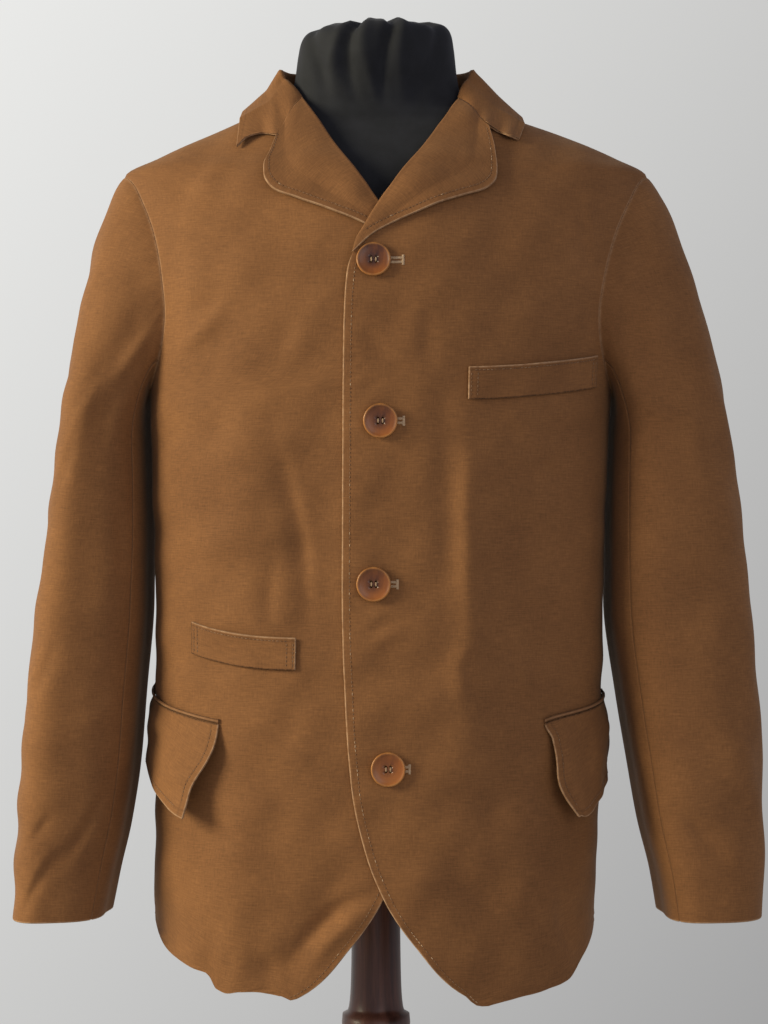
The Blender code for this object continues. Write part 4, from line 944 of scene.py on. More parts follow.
def cloth(name, outer, inner, material, free=(0, 0, 0, 0), rim=PLAIN_RIM, worn=None, lines=(), level=False):
    """Closed shell between two grids; columns run to the right and rows up, seen from outside.

    free says for the bottom, right, top and left edges how far they round out past the grid; 0 is a seam.
    lines are seams sunk in the cloth: edge, distance from it, strength; they also darken the colour, partly
    as a stitch line and partly as painted shade in the groove. level keeps the weft lines level.
    """
    global piece_count
    piece_count += 1
    rows, columns = outer.shape[:2]
    count = rows * columns
    place = np.arange(count).reshape(rows, columns)
    corners = [place[:-1, :-1], place[:-1, 1:], place[1:, 1:], place[1:, :-1]]
    quads = np.stack(corners, axis=-1).reshape(-1, 4)
    loop = np.concatenate([place[0, :-1], place[:-1, -1], place[-1, :0:-1], place[:0:-1, 0]])
    lengths = (columns, rows, columns, rows)
    free = [np.broadcast_to(np.asarray(edge, float), (length,)) for edge, length in zip(free, lengths)]
    bottom, right, top, left = free
    bulge = np.concatenate([bottom[:-1], right[:-1], top[:0:-1], left[:0:-1]])
    corner_at = np.cumsum([0, columns - 1, rows - 1, columns - 1])
    for at, other in zip(corner_at, (left[0], bottom[-1], right[-1], top[0])):
        bulge[at] = min(bulge[at], other)
    r, c = np.divmod(loop, columns)
    inside = np.clip(r, 1, rows - 2) * columns + np.clip(c, 1, columns - 2)
    across, up = run(outer, 1), run(outer, 0)
    distances = (up, across[:, -1:] - across, up[-1:] - up, across)
    sunk = np.zeros((rows, columns))
    for edge, far, strength in lines:
        away = distances[EDGES.index(edge)] - far
        sunk = np.maximum(sunk, strength * np.exp(-((away / SEAM_LINE_REACH) ** 2)))
    outer = outer + (SEAM_LINE_DEPTH * sunk)[..., None] * (inner - outer)
    flat_outer, flat_inner = outer.reshape(-1, 3), inner.reshape(-1, 3)
    outward = unit(flat_outer[loop] - flat_outer[inside]) * bulge[:, None]
    rim_outer, rim_inner = flat_outer[loop], flat_inner[loop]
    rings = [rim_outer * (1 - share) + rim_inner * share + outward * push for share, push in rim]
    points = np.concatenate([flat_outer, flat_inner] + rings)
    rim_places = 2 * count + np.arange(len(rim) * len(loop)).reshape(len(rim), len(loop))
    levels = [loop, *rim_places, loop + count]
    strips = []
    for upper, lower in zip(levels[:-1], levels[1:]):
        strips.append(np.stack([upper, lower, np.roll(lower, -1), np.roll(upper, -1)], axis=-1))
    faces = np.concatenate([quads, quads[:, ::-1] + count] + strips)
    high = np.repeat(up[:, columns // 2, None], columns, axis=1) if level else up
    aside = across + outer[:, :1, 0] if level else across - across[:, columns // 2, None]
    uv = np.stack([aside, high], axis=-1).reshape(-1, 2)
    uv = uv + np.array(CUT_STEP) * piece_count
    uv = np.concatenate([uv, uv] + [uv[loop]] * len(rim))
    wear = np.zeros((rows, columns))
    for far, edge, is_row in zip(distances, free, (True, False, True, False)):
        shown = np.where(edge > 0, 1.0, 0.0)
        shown = shown[None, :] if is_row else shown[:, None]
        wear = np.maximum(wear, shown * np.exp(-((far / WEAR_REACH) ** 2)))
    if worn is not None:
        wear = np.maximum(wear, worn)
    rim_wear = np.where(bulge > 0, RIM_WEAR, 0.0)
    wear = np.concatenate([wear.ravel(), wear.ravel() * INNER_WEAR] + [rim_wear] * len(rim))
    # The seam value darkens the colour along the sunk lines: a stitch line with painted shade in its groove
    seam = np.concatenate([sunk.ravel(), sunk.ravel()] + [np.zeros(len(loop))] * len(rim))
    made = new_piece(name, points, faces.tolist(), material, uv, [("wear", wear), ("seam", seam)])
    first, second, third, fourth = (flat_outer[quads[:, k]] for k in range(4))
    areas = np.linalg.norm(np.cross(third - first, fourth - second), axis=1) / 2
    made["cut_area"] = float(areas.sum())
    return made


def inset_path(points, normals, edge, distance, trim):
    """Points and normals this far in from one edge of a grid, without a length at either end."""
    if edge in ("bottom", "top"):
        points, normals = points.transpose(1, 0, 2), normals.transpose(1, 0, 2)
    if edge in ("right", "top"):
        points, normals = points[:, ::-1], normals[:, ::-1]
    far = run(points, 1)
    low = np.clip((far <= distance).sum(axis=1) - 1, 0, points.shape[1] - 2)
    index = np.arange(len(points))
    t = np.clip((distance - far[index, low]) / (far[index, low + 1] - far[index, low]), 0, 1)[:, None]
    path = points[index, low] * (1 - t) + points[index, low + 1] * t
    out = unit(normals[index, low] * (1 - t) + normals[index, low + 1] * t)
    length = run(path[None], 1)[0]
    kept = (length >= trim[0]) & (length <= length[-1] - trim[1])
    return path[kept], out[kept]


class Thread:
    """Gathers short thread pieces into one mesh."""

    def __init__(self):
        self.points, self.faces, self.tone = [], [], []

    def add(self, middle, way, out, length, radius, tone):
        """One stitch: a thin rod that dives into the cloth at both ends."""
        side = np.cross(out, way)
        first = len(self.points)
        for t, size, rise in STITCH_RINGS:
            for k in range(STITCH_SIDES):
                angle = 2 * math.pi * k / STITCH_SIDES
                offset = side * math.cos(angle) + out * math.sin(angle)
                self.points.append(middle + way * t * length + out * rise * radius + offset * size * radius)
                self.tone.append(tone)
        last = len(self.points) - STITCH_SIDES
        for ring in range(first, last, STITCH_SIDES):
            for k in range(STITCH_SIDES):
                a, b = ring + k, ring + (k + 1) % STITCH_SIDES
                self.faces.append((a, b, b + STITCH_SIDES, a + STITCH_SIDES))
        self.faces.append(tuple(range(first + STITCH_SIDES - 1, first - 1, -1)))
        self.faces.append(tuple(range(last, last + STITCH_SIDES)))

    def sew(self, path, out, rng, pale=0.0):
        """Running stitches along a path; pale is the share of them that shows light."""
        far = run(path[None], 1)[0]
        half = STITCH_STEP / 2
        for at in np.arange(half, far[-1] - half, STITCH_STEP):
            places = (at, at + half, at - half)
            middle, ahead, behind = np.array([np.interp(places, far, column) for column in path.T]).T
            normal = np.array([np.interp(at, far, column) for column in out.T])
            way = unit(ahead - behind)
            normal = unit(normal - (normal @ way) * way)
            tone = rng.uniform(*PALE_TONES) if rng.uniform() < pale else rng.uniform(*DARK_TONES)
            self.add(middle, way, normal, STITCH_LENGTH * rng.uniform(*STITCH_LENGTHS), STITCH_RADIUS, tone)

    def piece(self, name, material):
        return new_piece(name, self.points, self.faces, material, values=[("tone", self.tone)])


# Materials
class Nodes:
    """Short way to make and link shader nodes."""

    def __init__(self, tree):
        self.tree = tree

    def new(self, kind, links=(), **settings):
        node = self.tree.nodes.new(kind)
        for key, value in settings.items():
            setattr(node, key, value)
        for socket, value in links:
            if isinstance(value, bpy.types.NodeSocket):
                self.tree.links.new(value, node.inputs[socket])
            else:
                node.inputs[socket].default_value = value
        return node

    def noise(self, vector, scale, detail=2.0, rough=0.5):
        links = [("Vector", vector), ("Scale", scale), ("Detail", detail), ("Roughness", rough)]
        return self.new("ShaderNodeTexNoise", links).outputs["Fac"]

    def scaled(self, vector, by):
        return self.new("ShaderNodeVectorMath", [(0, vector), (1, by)], operation="MULTIPLY").outputs[0]

    def math(self, kind, first, second=0.0, clamp=False):
        links = [(0, first), (1, second)]
        return self.new("ShaderNodeMath", links, operation=kind, use_clamp=clamp).outputs[0]

    def between(self, value, low, high, out_low=0.0, out_high=1.0):
        links = [("Value", value), ("From Min", low), ("From Max", high)]
        links += [("To Min", out_low), ("To Max", out_high)]
        return self.new("ShaderNodeMapRange", links).outputs["Result"]

    def mix(self, share, first, second, kind="MIX"):
        links = [(0, share), (6, first), (7, second)]
        return self.new("ShaderNodeMix", links, data_type="RGBA", blend_type=kind).outputs[2]

    def bump(self, height, strength, distance, normal=None):
        links = [("Height", height), ("Strength", strength), ("Distance", distance)]
        if normal is not None:
            links.append(("Normal", normal))
        return self.new("ShaderNodeBump", links).outputs["Normal"]


def new_material(name, roughness, **settings):
    made = bpy.data.materials.new(name)
    made.use_nodes = True
    shader = made.node_tree.nodes["Principled BSDF"]
    shader.inputs["Roughness"].default_value = roughness
    for socket, value in settings.items():
        shader.inputs[socket.replace("_", " ")].default_value = value
    return made, Nodes(made.node_tree), shader


def link(nodes, shader, socket, value):
    nodes.tree.links.new(value, shader.inputs[socket])


def duck_material():
    """Worn brown cotton duck: slubby weft lines, a fainter warp, mottled dye, pale rubbed edges and dark
    seam lines that are partly painted shade.
    """
    sheen = dict(Sheen_Weight=0.10, Sheen_Roughness=0.45, Sheen_Tint=DUCK_SHEEN)
    made, n, shader = new_material("duck", 0.84, Specular_IOR_Level=0.22, **sheen)
    uv = n.new("ShaderNodeUVMap", uv_map="cloth").outputs["UV"]
    wear = n.new("ShaderNodeAttribute", attribute_name="wear").outputs["Fac"]
    weft = n.noise(n.scaled(uv, (75.0, 1150.0, 1.0)), 1.0, 2.0)
    warp = n.noise(n.scaled(uv, (1150.0, 95.0, 1.0)), 1.0, 2.0)
    blotch = n.noise(uv, 17.0, 5.0, 0.62)
    cloud = n.noise(uv, 5.0, 3.0, 0.5)
    speck = n.noise(uv, 420.0, 2.0, 0.6)
    dye = n.math("ADD", n.math("MULTIPLY", blotch, 0.62), n.math("MULTIPLY", cloud, 0.38))
    dye = n.between(dye, 0.34, 0.66)
    colour = n.mix(dye, DUCK_DARK, DUCK_LIGHT)
    lines = n.math("ADD", n.math("MULTIPLY", weft, 0.60), n.math("MULTIPLY", warp, 0.40))
    shade = n.between(lines, 0.30, 0.70, 0.76, 1.20)
    shade = n.math("MULTIPLY", shade, n.between(speck, 0.3, 0.7, 0.92, 1.08))
    grey = n.new("ShaderNodeCombineColor", [(0, shade), (1, shade), (2, shade)]).outputs[0]
    colour = n.mix(1.0, colour, grey, "MULTIPLY")
    patchy = n.between(n.noise(uv, 160.0, 3.0, 0.65), 0.30, 0.62, 0.25, 0.95)
    rubbed = n.math("MULTIPLY", wear, patchy, True)
    colour = n.mix(rubbed, colour, DUCK_WORN)
    # Dark seam lines: stitch lines with painted shade in their grooves and where parts are sewn down
    seam = n.new("ShaderNodeAttribute", attribute_name="seam").outputs["Fac"]
    holes = n.between(n.noise(uv, 520.0, 1.0), 0.40, 0.60, 0.45, 1.0)
    colour = n.mix(n.math("MULTIPLY", seam, holes, True), colour, DUCK_SEAM_SHADE)
    link(n, shader, "Base Color", colour)
    fine = n.bump(lines, 0.45, 0.00035)
    soft = n.bump(n.noise(uv, 95.0, 4.0, 0.6), 0.30, 0.0009, fine)
    link(n, shader, "Normal", soft)
    return made


def thread_material():
    made, n, shader = new_material("thread", 0.62, Specular_IOR_Level=0.3, Sheen_Weight=0.1)
    tone = n.new("ShaderNodeAttribute", attribute_name="tone").outputs["Fac"]
    place = n.new("ShaderNodeTexCoord").outputs["Object"]
    twist = n.noise(place, 2600.0, 2.0)
    colour = n.mix(tone, THREAD_BROWN, THREAD_TAN)
    colour = n.mix(n.between(twist, 0.3, 0.7, 0.0, 0.35), colour, THREAD_BROWN)
    link(n, shader, "Base Color", colour)
    link(n, shader, "Normal", n.bump(twist, 0.5, 0.0002))
    return made


def form_material():
    sheen = dict(Sheen_Weight=0.10, Sheen_Roughness=0.5, Sheen_Tint=FORM_SHEEN)
    made, n, shader = new_material("form_cloth", 0.80, Specular_IOR_Level=0.25, **sheen)
    place = n.new("ShaderNodeTexCoord").outputs["Object"]
    knit = n.noise(n.scaled(place, (900.0, 900.0, 1500.0)), 1.0, 2.0)
    fluff = n.noise(place, 45.0, 4.0, 0.6)
    colour = n.mix(n.between(fluff, 0.35, 0.65), FORM_BLACK, FORM_GREY)
    link(n, shader, "Base Color", colour)
    link(n, shader, "Normal", n.bump(knit, 0.35, 0.0004))
    return made


def mahogany_material():
    polish = dict(Coat_Weight=0.12, Coat_Roughness=0.25)
    made, n, shader = new_material("mahogany", 0.36, Specular_IOR_Level=0.35, **polish)
    place = n.new("ShaderNodeTexCoord").outputs["Object"]
    grain = n.noise(n.scaled(place, (130.0, 130.0, 5.0)), 1.0, 6.0, 0.62)
    pores = n.noise(n.scaled(place, (1500.0, 1500.0, 40.0)), 1.0, 2.0)
    colour = n.mix(n.between(grain, 0.32, 0.68), MAHOGANY_DARK, MAHOGANY_RED)
    colour = n.mix(n.between(pores, 0.58, 0.72, 0.0, 0.6), colour, MAHOGANY_DARK)
    link(n, shader, "Base Color", colour)
    link(n, shader, "Roughness", n.between(grain, 0.3, 0.7, 0.34, 0.46))
    link(n, shader, "Normal", n.bump(pores, 0.12, 0.0002))
    return made


def horn_material():
    polish = dict(Coat_Weight=0.10, Coat_Roughness=0.20)
    made, n, shader = new_material("horn", 0.34, Specular_IOR_Level=0.32, **polish)
    rim = n.new("ShaderNodeAttribute", attribute_name="rim").outputs["Fac"]
    tone = n.new("ShaderNodeAttribute", attribute_name="tone").outputs["Fac"]
    place = n.new("ShaderNodeTexCoord").outputs["Object"]
    streak = n.noise(n.scaled(place, (190.0, 60.0, 130.0)), 1.0, 5.0, 0.62)
    # tone brings painted light: amber on the lower side, dark on the upper side
    share = n.math("ADD", tone, n.between(streak, 0.3, 0.7, -0.22, 0.22), True)
    colour = n.mix(share, HORN_DARK, HORN_AMBER)
    # rim brings a painted highlight of pale horn round the rim and on the lower side
    light = n.math("MULTIPLY", rim, n.between(streak, 0.3, 0.7, 0.25, 0.75), True)
    colour = n.mix(light, colour, HORN_RIM_HIGHLIGHT)
    link(n, shader, "Base Color", colour)
    link(n, shader, "Roughness", n.between(streak, 0.3, 0.7, 0.26, 0.40))
    link(n, shader, "Normal", n.bump(n.noise(place, 700.0, 3.0), 0.06, 0.0004))
    return made


duck = duck_material()
thread = thread_material()
form_cloth = form_material()
mahogany = mahogany_material()
horn = horn_material()
sewing = Thread()
rng = np.random.default_rng(SEEDS["thread"])


def keep(piece, node):
    """The piece stands for a solid, which it hides, and rides with the root body."""
    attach(piece, "root")
    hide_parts(node)


# Coat body
FREE = 0.0007
GORGE_FREE = 0.4 * FREE
LIP_END, LIP_FADE = 0.012, 0.006


def body_rows(low_count, arm_count, top_count):
    close = HEM_Z + np.array(HEM_LINES)
    low = np.concatenate([close, np.linspace(HEM_Z + HEM_LINES_END, ARMPIT_Z, low_count)[:-1]])
    top = np.linspace(SHOULDER_ROW, NECK_ROW, top_count + 1)[1:]
    return np.concatenate([row_at(low), armhole_rows(arm_count), top])


def puckers(far, place, seed):
    """Small ripples that run in from a sewn edge."""
    ripple = waves(place, far * PUCKER_SLANT, seed, PUCKER_LENGTH)
    return PUCKER_HEIGHT * np.exp(-((far / PUCKER_REACH) ** 2)) * ripple


def seam_wear(far, z):
    """Paler cloth along the armhole, at this distance from its seam."""
    return SEAM_WEAR * np.exp(-((far / SEAM_WEAR_REACH) ** 2)) * (z >= ARMPIT_Z)[:, None]


def build_front(label, side):
    rows = body_rows(*FRONT_ROWS)
    f = spaced(FRONT_COLUMNS, FRONT_WIDTH)
    z = body("z", rows)
    start = (side * around_at(edge_x(z, side), rows))[:, None]
    end = front_outer(rows)[:, None]
    side_line = np.maximum(end, 1.0)
    around = side * (start + (side_line - start) * f - (side_line - end) * f**2)
    outer, normal = front_face(around, np.repeat(rows[:, None], len(f), axis=1), side)
    rise = through(*zip(*(HEM_TUCK_LEFT if side > 0 else HEM_TUCK_RIGHT)), outer[..., 0])
    outer[..., 2] += rise * (1 - ease((outer[..., 2] - HEM_Z) / HEM_TUCK_REACH))
    far, up = run(outer, 1), run(outer, 0)
    below = (1 - ease((z - BREAK_Z + PUCKER_END) / PUCKER_FADE))[:, None]
    ripple = puckers(far, up, SEEDS["front_edge"] + side) * below
    ripple = ripple + puckers(up, far, SEEDS["front_hem"] + side)
    outer = outer + (ripple * ease(far / EDGE_FLAT) * ease(up / EDGE_FLAT))[..., None] * normal
    inner = outer - CLOTH * normal
    worn = seam_wear(far[:, -1:] - far, z)
    outer, inner = pull(outer, columns=(-1,)), pull(inner, columns=(-1,))
    lip = FREE * (1 - ease((z - BREAK_Z + LIP_END) / LIP_FADE))
    bare, pale = EDGE_SEWING[side]
    sewing.sew(*inset_path(outer, normal, "left", STITCH_INSET, bare), rng, pale)
    edge, free = "left", (FREE, 0, 0, lip)
    if side < 0:
        edge, free = "right", (FREE, lip, 0, 0)
        outer, inner, worn = outer[:, ::-1], inner[:, ::-1], worn[:, ::-1]
    lines = [(edge, STITCH_INSET, EDGE_LINE), ("bottom", 2 * STITCH_INSET, HEM_LINE)]
    piece = cloth(f"cloth_front_{label}", outer, inner, duck, free, worn=worn, lines=lines, level=True)
    keep(piece, f"front_{label}")


def build_back():
    rows = body_rows(*BACK_ROWS)
    f = spaced(BACK_COLUMNS, BACK_WIDTH)
    ends = back_outer(rows)[:, None]
    around = 1 + 2 * f + (ends - 1) * np.sign(1 - 2 * f) * (1 - 2 * f) ** 2
    grid_rows = np.repeat(rows[:, None], len(f), axis=1)
    outer, normal = body_point(around, grid_rows), body_normal(around, grid_rows)
    x, z = outer[..., 0], outer[..., 2]
    free = ease((np.minimum(around, 4 - around) - ends) / FOLD_SEAM_FADE)
    fine = crease_height(x, z, BACK_CREASES) + UNEVEN_HEIGHT * waves(x, z, SEEDS["back"], UNEVEN_LENGTH)
    height = (fold_height(outer, BACK_FOLDS) + fine * ease((NECK_Z - z) / NECK_FADE)) * free
    up, far = run(outer, 0), run(outer, 1)
    height = height + puckers(up, far, SEEDS["back_hem"]) * ease(up / EDGE_FLAT) * free
    outer = outer + height[..., None] * normal
    inner = outer - CLOTH * normal
    outer, inner = pull(outer, columns=(0, -1)), pull(inner, columns=(0, -1))
    near = np.minimum(far, far[:, -1:] - far)
    worn = seam_wear(near, body("z", rows))
    keep(cloth("cloth_back", outer, inner, duck, (FREE, 0, 0, 0), worn=worn, level=True), "back")


# Lapels and collar
def lapel_edge(side):
    return LAPEL_EDGE[:-2] + LAPEL_EDGE_TOP_LEFT if side > 0 else LAPEL_EDGE


def lapel_leaf(s, t, side):
    """Points on the middle of the lapel's leaf: s runs up the roll line, t from it to the outer edge."""
    roll = along(ROLL_LINE, s)[..., ::-1]
    edge = along(lapel_edge(side), s)
    inset, height = np.moveaxis(roll[:, None] + t[None, :, None] * (edge - roll)[:, None], -1, 0)
    grown = ease((s - LAPEL_LIFT_START) / LAPEL_LIFT_LENGTH)[:, None]
    puff = LAPEL_ROLL_PUFF * np.sin(math.pi * np.minimum(1.0, t * LAPEL_PUFF_REACH))
    lift = CLEAR + DOUBLED / 2 + grown * (LAPEL_EDGE_LIFT * t**2 + puff)
    return front_at(ROLL_X + side * inset, height, side, lift)


def lapel_rows(s, side, arc_angles, leaf_shares):
    """Middle of the lapel's wall at places on the roll line: the half round of the fold, then the leaf."""
    leaf = lapel_leaf(s, leaf_shares, side)
    z = along(ROLL_LINE, s)[:, 0]
    row = row_at(z)
    base, normal = front_face(around_at(ROLL_X + side * along(ROLL_LINE, s)[:, 1], row), row, side)
    out = unit(leaf[:, 0] - leaf[:, min(4, leaf.shape[1] - 1)])
    out = unit(out - np.sum(out * normal, axis=-1, keepdims=True) * normal)
    low = -CLOTH / 2
    radius = (CLEAR + DOUBLED / 2 - low) / 2
    arc = []
    for angle in np.radians(arc_angles):
        step = ROLL_GAP + radius * math.cos(angle)
        arc.append(base + step * out + (low + radius + radius * math.sin(angle)) * normal)
    return np.concatenate([np.stack(arc, axis=1), leaf], axis=1)


ROLL_ANGLES = np.linspace(-90, 75, 10)


def build_lapel(label, side):
    t = spaced_to_edge(LAPEL_COLUMNS, LEAF_WIDTH, LAPEL_FIRST_COLUMNS)
    s = np.linspace(0.0 if side > 0 else LAPEL_HIDDEN_START, 1, LAPEL_ROWS)
    middle = lapel_rows(s, side, ROLL_ANGLES, t)
    normal = grid_normals(middle) * side
    uneven = waves(middle[..., 0], middle[..., 2], SEEDS["lapel"] + side, LAPEL_UNEVEN_LENGTH)
    middle = middle + (LAPEL_UNEVEN * uneven)[..., None] * normal
    outer, inner = middle + normal * DOUBLED / 2, middle - normal * DOUBLED / 2
    outer, inner = pull(outer, rows=(-1,), by=GORGE_GAP), pull(inner, rows=(-1,), by=GORGE_GAP)
    path = inset_path(outer, normal, "right", STITCH_INSET, LAPEL_SEWING_BARE)
    sewing.sew(*path, rng, LAPEL_SEWING_PALE)
    if side < 0:
        outer, inner = outer[:, ::-1], inner[:, ::-1]
    free = (0, FREE, 0, 0) if side > 0 else (0, 0, 0, FREE)
    lines = [("right" if side > 0 else "left", STITCH_INSET, STITCH_DARK)]
    piece = cloth(f"cloth_lapel_{label}", outer, inner, duck, free, TURNED_RIM, lines=lines)
    keep(piece, f"lapel_{label}")


def collar_row(share, side):
    """Middle of the collar's wall at one station, from the neck seam over the fold to the outer edge."""
    at = min(share / COLLAR_LAST_STATION, 1.0) * (len(COLLAR_STATIONS) - 1)
    values = [float(smooth(column, at)) for column in zip(*COLLAR_STATIONS)]
    part = dict(zip(COLLAR_COLUMNS, values))
    end_around = abs(float(around_at(edge_x(NECK_Z, 1), NECK_ROW)))
    knots = np.array(COLLAR_SEAM_SHARES + ((1 + end_around) / 2, end_around))
    around = side * float(smooth(knots, share * (len(knots) - 1)))
    seam, normal = body_point(around, NECK_ROW), body_normal(np.array(around), np.array(float(NECK_ROW)))
    out = unit(np.array([normal[0], normal[1], 0.0]))
    seam = seam - out * COLLAR_SEAM_IN + np.array([0, 0, COLLAR_SEAM_UP])
    blend = ease((share - COLLAR_LAST_STATION) / (1 - COLLAR_LAST_STATION))
    top = seam + np.array([0, 0, part["stand"]]) - part["lean"] * out
    centre = top - np.array([0, 0, FOLD_RADIUS])
    rise = np.array([0, 0, 1.0])
    turns = np.radians(FOLD_ANGLES)
    arc = [centre + FOLD_RADIUS * (math.cos(a) * out + math.sin(a) * rise) for a in turns]
    shift = COLLAR_SHIFT * ease(share / (COLLAR_SHIFT_FULL * COLLAR_LAST_STATION))
    aside = shift * np.array([1.0, 0.0, -COLLAR_SHIFT_RISE * side])
    mid = np.array([side * part["mid_x"], part["mid_y"], part["mid_z"]]) + aside
    edge = np.array([side * part["edge_x"], part["edge_y"], part["edge_z"]]) + aside
    leaf = [arc[-1] + (mid - arc[-1]) * t for t in LEAF_SHARES_UPPER]
    leaf += [mid + (edge - mid) * t for t in LEAF_SHARES_LOWER]
    end = list(lapel_rows(np.array([1.0]), side, GORGE_ANGLES, np.array(GORGE_SHARES))[0])
    tip = np.array(COLLAR_END[side])
    end += list(front_at(ROLL_X + side * tip[:, 0], tip[:, 1], side, CLEAR + DOUBLED / 2 + tip[:, 2]))
    return np.array([seam] + arc + leaf) * (1 - blend) + np.array(end) * blend


def build_collar():
    shares = spaced(COLLAR_COUNT, COLLAR_HALF_LENGTH)
    shares = shares[shares <= 1]
    left = [collar_row(share, 1) for share in shares[::-1]]
    right = [collar_row(share, -1) for share in shares[1:]]
    stations = np.array(left + right)
    across = spaced_to_edge(COLLAR_ROWS, LEAF_WIDTH, COLLAR_FIRST_ROWS)
    middle = np.array([along(station, across) for station in stations]).transpose(1, 0, 2)
    normal = grid_normals(middle)
    outer, inner = middle + normal * DOUBLED / 2, middle - normal * DOUBLED / 2
    outer, inner = pull(outer, columns=(0, -1), by=GORGE_GAP), pull(inner, columns=(0, -1), by=GORGE_GAP)
    path = inset_path(outer, normal, "top", STITCH_INSET, COLLAR_SEWING_BARE)
    sewing.sew(*path, rng, LAPEL_SEWING_PALE)
    free = (0, GORGE_FREE, FREE, GORGE_FREE)
    lines = [("top", STITCH_INSET, STITCH_DARK)]
    piece = cloth("cloth_collar", outer, inner, duck, free, TURNED_RIM, lines=lines)
    keep(piece, "collar")


# Sleeves
def sleeve_ring(section, side, angles):
    z, near, far, front, back = section
    power = 2 / SLEEVE_SQUARENESS
    cos, sin = np.cos(angles), np.sin(angles)
    x = (near + far) / 2 - (far - near) / 2 * np.sign(cos) * np.abs(cos) ** power
    x = x - SLEEVE_BACK_LEAN * 2 * np.clip(cos, 0, 1) * np.clip(-sin, 0, 1)
    y = (front + back) / 2 - (back - front) / 2 * np.sign(sin) * np.abs(sin) ** power
    turned = math.tan(math.radians(SLEEVE_FACE_TURN[side])) * np.sqrt(np.clip(sin, 0, 1))
    y = y + turned * (x - (near + far) / 2)
    return np.stack([side * x, y, np.full(len(angles), z)], axis=-1)


def sleeve_seam(side):
    """Armhole that a sleeve is sewn to: points, outward directions and directions into the opening."""
    rows = armhole_rows(SLEEVE_HALF_COUNT)
    front, back = 1 - armhole(rows, ARMHOLE_DIP_FRONT), 1 + armhole(rows, ARMHOLE_DIP_BACK)
    around = np.concatenate([front, back[-2:0:-1]]) * side
    rows = np.concatenate([rows, rows[-2:0:-1]])
    edge, out = body_point(around, rows), body_normal(around, rows)
    way = unit(np.roll(edge, -1, axis=0) - np.roll(edge, 1, axis=0))
    into = unit(np.cross(out, way))
    into *= np.sign(np.sum(into * (edge.mean(axis=0) - edge), axis=1, keepdims=True))
    return edge, out, into


def sleeve_grid(edge, out, into, angles, side, sections):
    """Outer face of a smooth sleeve, from the cuff up to the armhole, and its first ring there."""
    low = np.clip(np.cos(angles), 0, 1) ** SLEEVE_TURN_BLEND
    high = np.clip(-np.cos(angles), 0, 1) ** SLEEVE_TURN_BLEND
    turn = SLEEVE_TURN_MIDDLE + (SLEEVE_TURN_UNDER - SLEEVE_TURN_MIDDLE) * low
    turn = np.radians(turn + (SLEEVE_TURN_TOP - SLEEVE_TURN_MIDDLE) * high)[:, None]
    leave = np.cos(turn) * into + np.sin(turn) * out
    start = edge + SLEEVE_SEAM_GAP * unit(into + leave)
    first, second = sleeve_ring(sections[0], side, angles), sleeve_ring(sections[1], side, angles)
    reach = np.linalg.norm(first - start, axis=1, keepdims=True)
    out_start = leave * reach * SLEEVE_HEAD_PULL
    out_end = unit(second - first) * reach * SLEEVE_ARM_PULL
    rings = []
    head = np.linspace(SLEEVE_HEAD_LINES_END, 1, SLEEVE_HEAD_ROWS)[:-1]
    for t in np.concatenate([SLEEVE_HEAD_LINES, head]):
        bend = 3 * t * t - 2 * t**3
        pulls = out_start * (t - 2 * t * t + t**3) + out_end * (t**3 - t * t)
        rings.append(start + (first - start) * bend + pulls)
    lengths = np.linspace(0, len(sections) - 1, SLEEVE_ARM_ROWS)
    lengths = np.concatenate([lengths[:-1], lengths[-1] - np.array(CUFF_LINES)])
    for at in lengths:
        rings.append(sleeve_ring([float(smooth(column, at)) for column in zip(*sections)], side, angles))
    return np.array(rings)[::-1], start


def sleeve_height(outer, drop, angles, side, creases):
    """How far the folds, creases and ripples stand out of a sleeve; drop is the distance from its seam."""
    degrees = np.degrees(angles)
    z = outer[..., 2]
    height = np.zeros(z.shape)
    for at, fold_z, slope, width, depth, span in SLEEVE_FOLDS:
        off = (degrees - at + 180) % 360 - 180
        away = z - fold_z - slope * off
        height += depth * np.exp(-((away / width) ** 2)) * np.exp(-((off / span) ** 2))
    arc = np.broadcast_to(np.radians(degrees) * SLEEVE_GIRTH_RADIUS, z.shape)
    table = []
    for from_degrees, from_z, to_degrees, to_z, *rest in creases:
        turns = [math.radians(d) * SLEEVE_GIRTH_RADIUS for d in (from_degrees, to_degrees)]
        table.append((turns[0], from_z, turns[1], to_z, *rest))
    height += SLEEVE_CREASE_SHARE * crease_height(arc, z, table)
    shown = 0.5 - 0.5 * np.cos(angles)
    uneven = waves(outer[..., 0] + outer[..., 1], z, SEEDS["sleeve"] + side, UNEVEN_LENGTH)
    height += UNEVEN_HEIGHT * shown * uneven
    height *= ease(drop / SLEEVE_CREASE_FADE)
    ripple = waves(arc * 2, 0 * arc, SEEDS["sleeve_head"] + side, HEAD_PUCKER_LENGTH)
    near = np.exp(-((drop / HEAD_PUCKER_REACH) ** 2)) * ease(drop / HEAD_PUCKER_START)
    return height + PUCKER_HEIGHT * near * ripple


